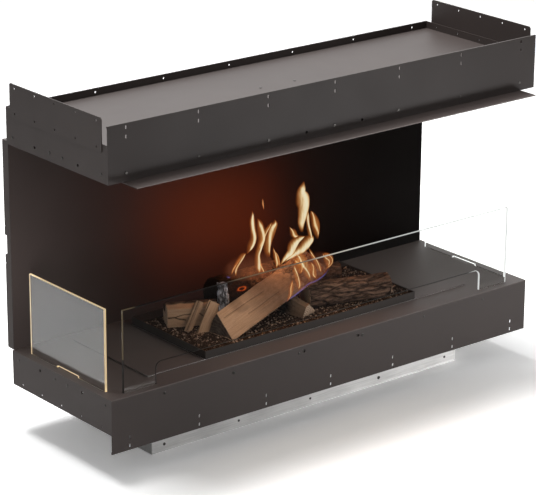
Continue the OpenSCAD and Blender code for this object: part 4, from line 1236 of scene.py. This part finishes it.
def flame_finish(name, stops, solid):
    """Glow that is as dense as the flame's core share says, broken into fine upward threads."""
    material, tree, place = start_finish(name)
    threads = clouds(tree, place, 1.0, 4.0, 0.6, (190, 60, 26))
    core = math_of(tree, "MULTIPLY", share_of(tree, "core"),
                   math_of(tree, "MULTIPLY_ADD", threads, 1.1, 0.45))
    warmth = math_of(tree, "MULTIPLY", core, share_of(tree, "warm"))
    glow = add(tree, "ShaderNodeEmission", Color=ramp(tree, warmth, stops), Strength=1.0)
    clear = add(tree, "ShaderNodeBsdfTransparent", Color=(1.0, 1.0, 1.0))
    dense = ramp(tree, core, [(0.0, 0.0), (0.35, 0.42 * solid), (0.8, solid)])
    end_finish(tree, blend_of(tree, dense, clear, glow))
    return material


# %% Where the flames stand
# The frame's own zero is at the middle of the box and on the floor. Flames are set out from the
# fascia's front plane and from the hearth's top. Each has its brightness, its heart and its line.
front_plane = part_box("hood_fascia")[0].y

WARM = [(0.0, (0.35, 0.06, 0.005)), (0.3, (0.55, 0.17, 0.035)), (0.5, (0.68, 0.34, 0.12)),
        (0.72, (0.80, 0.58, 0.30)), (1.0, (0.86, 0.76, 0.52))]
HAZE = [(0.0, (0.30, 0.06, 0.02)), (1.0, (0.60, 0.25, 0.13))]
BLUE = [(0.0, (0.03, 0.02, 0.10)), (0.6, (0.06, 0.05, 0.22)), (1.0, (0.16, 0.16, 0.48))]

FLAMES = {
    "back": (255, [
        (1.0, 0.5, [(-59, 154, 5), (-47, 172, 20), (-38, 191, 20), (-40, 215, 16), (-42, 236, 15),
                    (-41, 250, 8), (-42, 261, 1)]),
        (0.95, 0.45, [(-16, 91, 6), (-21, 108, 17), (-24, 125, 20), (-25, 143, 16), (-19, 162, 18),
                      (-12, 185, 22), (-16, 210, 21), (-20, 227, 14), (-25, 238, 2)]),
        (0.9, 0.35, [(10, 131, 11), (5, 154, 21), (8, 177, 28), (18, 200, 29), (28, 213, 20),
                     (29, 224, 2)]),
        (0.85, 0.4, [(-20, 156, 4), (-11, 175, 12), (-1, 197, 12), (12, 210, 8), (20, 218, 2)]),
        (0.8, 0.35, [(-92, 102, 3), (-92, 122, 11), (-84, 139, 16), (-72, 151, 15), (-60, 155, 3)]),
        (0.55, 0.3, [(-106, 110, 3), (-100, 123, 8), (-89, 138, 8), (-77, 149, 4)]),
        (0.75, 0.35, [(34, 94, 3), (37, 111, 13), (32, 127, 13), (27, 142, 6), (25, 153, 1)]),
        (0.6, 0.3, [(44, 98, 2), (43, 111, 8), (37, 128, 7), (30, 142, 2)]),
        (0.95, 0.5, [(-47, 80, 2), (-37, 85, 8), (-33, 93, 7), (-36, 101, 2)]),
        (0.7, 0.35, [(-1, 82, 2), (-9, 98, 10), (-14, 113, 8), (-16, 124, 2)])]),
    "plank_top": (165, [
        (1.0, 0.8, [(41, 214, 8), (39, 238, 20), (43, 260, 27), (45, 280, 33), (41, 298, 38),
                    (37, 315, 27), (41, 328, 18), (46, 342, 2)]),
        (0.95, 0.45, [(72, 178, 4), (67, 200, 11), (61, 225, 11), (59, 246, 11), (60, 266, 2)]),
        (0.75, 0.3, [(91, 185, 5), (86, 211, 22), (81, 231, 24), (72, 253, 13), (67, 262, 1)]),
        (0.8, 0.35, [(31, 205, 2), (19, 210, 16), (11, 220, 17), (5, 229, 5), (2, 235, 1)]),
        (1.0, 0.7, [(-30, 139, 2), (-13, 156, 12), (5, 169, 22), (12, 186, 28), (26, 196, 21),
                    (43, 199, 8), (52, 200, 1)]),
        (1.0, 0.7, [(-19, 146, 2), (10, 158, 11), (35, 170, 27), (53, 183, 33), (69, 189, 21),
                    (75, 199, 4)])]),
    "plank_side": (108, [
        (0.7, 0.35, [(-54, 71, 2), (-43, 89, 8), (-40, 109, 8), (-38, 123, 2)]),
        (0.9, 0.35, [(-17, 93, 3), (-16, 107, 8), (-24, 129, 9), (-30, 149, 8), (-31, 162, 2)]),
        (0.95, 0.3, [(19, 109, 2), (12, 127, 11), (5, 146, 15), (-6, 162, 19), (-18, 176, 17),
                     (-30, 186, 4)]),
        (0.6, 0.3, [(-10, 133, 4), (-14, 147, 14), (-20, 164, 18), (-29, 178, 4)]),
        (0.7, 0.3, [(39, 111, 3), (28, 128, 13), (22, 145, 12), (19, 158, 2)]),
        (0.8, 0.35, [(54, 124, 3), (47, 137, 8), (35, 157, 8), (25, 176, 5), (14, 196, 1)]),
        (0.8, 0.3, [(73, 132, 4), (74, 147, 11), (67, 161, 10), (59, 170, 2)]),
        (0.7, 0.3, [(65, 126, 2), (82, 139, 8), (85, 151, 8), (79, 162, 5), (63, 170, 2)])]),
    "spark": (200, [(0.6, 0.5, [(-50, 279, 1), (-53, 296, 5), (-54, 309, 1)])]),
}
VEILS = [(235, 0.5, 0.9, [(-152, 130, 15), (-116, 132, 50), (-62, 126, 60), (-12, 126, 50),
                          (5, 130, 11)]),
         (112, 0.45, 0.9, [(-45, 95, 12), (0, 122, 60), (40, 140, 66), (75, 148, 40),
                           (90, 150, 8)])]
BLUE_FLAMES = [(255, 1, 1, [(-123, 111, 1), (-113, 103, 6), (-92, 93, 5), (-63, 83, 5),
                            (-38, 77, 3), (-25, 77, 1)]),
               (108, 1, 1, [(-66, 71, 1), (-36, 80, 5), (-11, 90, 6), (14, 102, 5), (39, 105, 5),
                            (65, 115, 4), (84, 133, 1)])]


# %% Light the fire
def fire(name, sheets, material):
    """Joins flame sheets to one piece of the stage that goes up with the bed."""
    points, faces, core, warm = [], [], [], []
    for sheet in sheets:
        faces += [tuple(k + len(points) for k in face) for face in sheet[1]]
        points += sheet[0]
        core += sheet[2]
        warm += sheet[3]
    piece = mesh_object(name, points, faces, material)
    for label, values in (("core", core), ("warm", warm)):
        piece.data.attributes.new(label, "FLOAT", "POINT").data.foreach_set("value", values)
    piece.data.polygons.foreach_set("use_smooth", [True] * len(faces))
    piece.visible_shadow = False
    piece.visible_diffuse = False
    piece.parent = gravel_stones
    piece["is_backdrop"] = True


warm_gas = flame_finish("burning_gas", WARM, 0.93)
for name, (plane, lines) in FLAMES.items():
    spread = 1.7 if name == "plank_side" else 1.0
    fire("fire_" + name, [flame_sheet(plane, *line, spread=spread) for line in lines], warm_gas)
fire("fire_veils", [flame_sheet(*line) for line in VEILS], flame_finish("thin_gas", HAZE, 0.16))
fire("fire_blue", [flame_sheet(*line, bulge=0.2) for line in BLUE_FLAMES],
     flame_finish("blue_gas", BLUE, 0.4))
print("flames:", sum(len(lines) for _, lines in FLAMES.values()) + len(BLUE_FLAMES))

# %% Firelight
# The flames light the logs beside them, and the black wall behind them glows.
FLAME_TINT, PALE_TINT = (1.0, 0.42, 0.14), (1.0, 0.82, 0.64)


def bulb(name, at, power, tint=FLAME_TINT, radius=0.02):
    """A small lamp, placed in mm from the fascia's front plane and the hearth's top."""
    light = bpy.data.lights.new(name, "POINT")
    light.energy = power
    light.shadow_soft_size = radius
    light.color = tint
    lamp = bpy.data.objects.new(name, light)
    scene.collection.objects.link(lamp)
    lamp.location = (at[0] / 1000, at[1] / 1000 + front_plane, at[2] / 1000 + hearth_top)
    lamp.visible_camera = lamp.visible_glossy = lamp.visible_transmission = False


bulb("fire_back", (0, 190, 190), 1.0)
bulb("fire_high", (42, 165, 290), 0.35)
bulb("fire_left", (-240, 40, 190), 0.55, PALE_TINT, 0.06)
bulb("fire_right", (110, 30, 150), 0.4, PALE_TINT, 0.06)
glow_at = Vector((-0.02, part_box("back_skin")[0].y - 0.12, hearth_top + 0.18))
lights_only([soft_lamp("wall_glow", glow_at, glow_at + Vector((-0.1, 1, 0)), (0.35, 0.22), 2.4,
                       (1.0, 0.12, 0.005))], [nodes["back_skin"]], "INCLUDE")

# %% [markdown]
#
# How far what is shown reaches past the CAD model's box, at each side, is printed. What is shown
# has to stay inside the CAD model's box.

# %% Print how far the pieces reach past the CAD box
now_low, now_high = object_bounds()
growth = (*(cad_low - now_low), *(now_high - cad_high))
print("grew by:", [round(float(v) * 1000, 2) for v in growth])
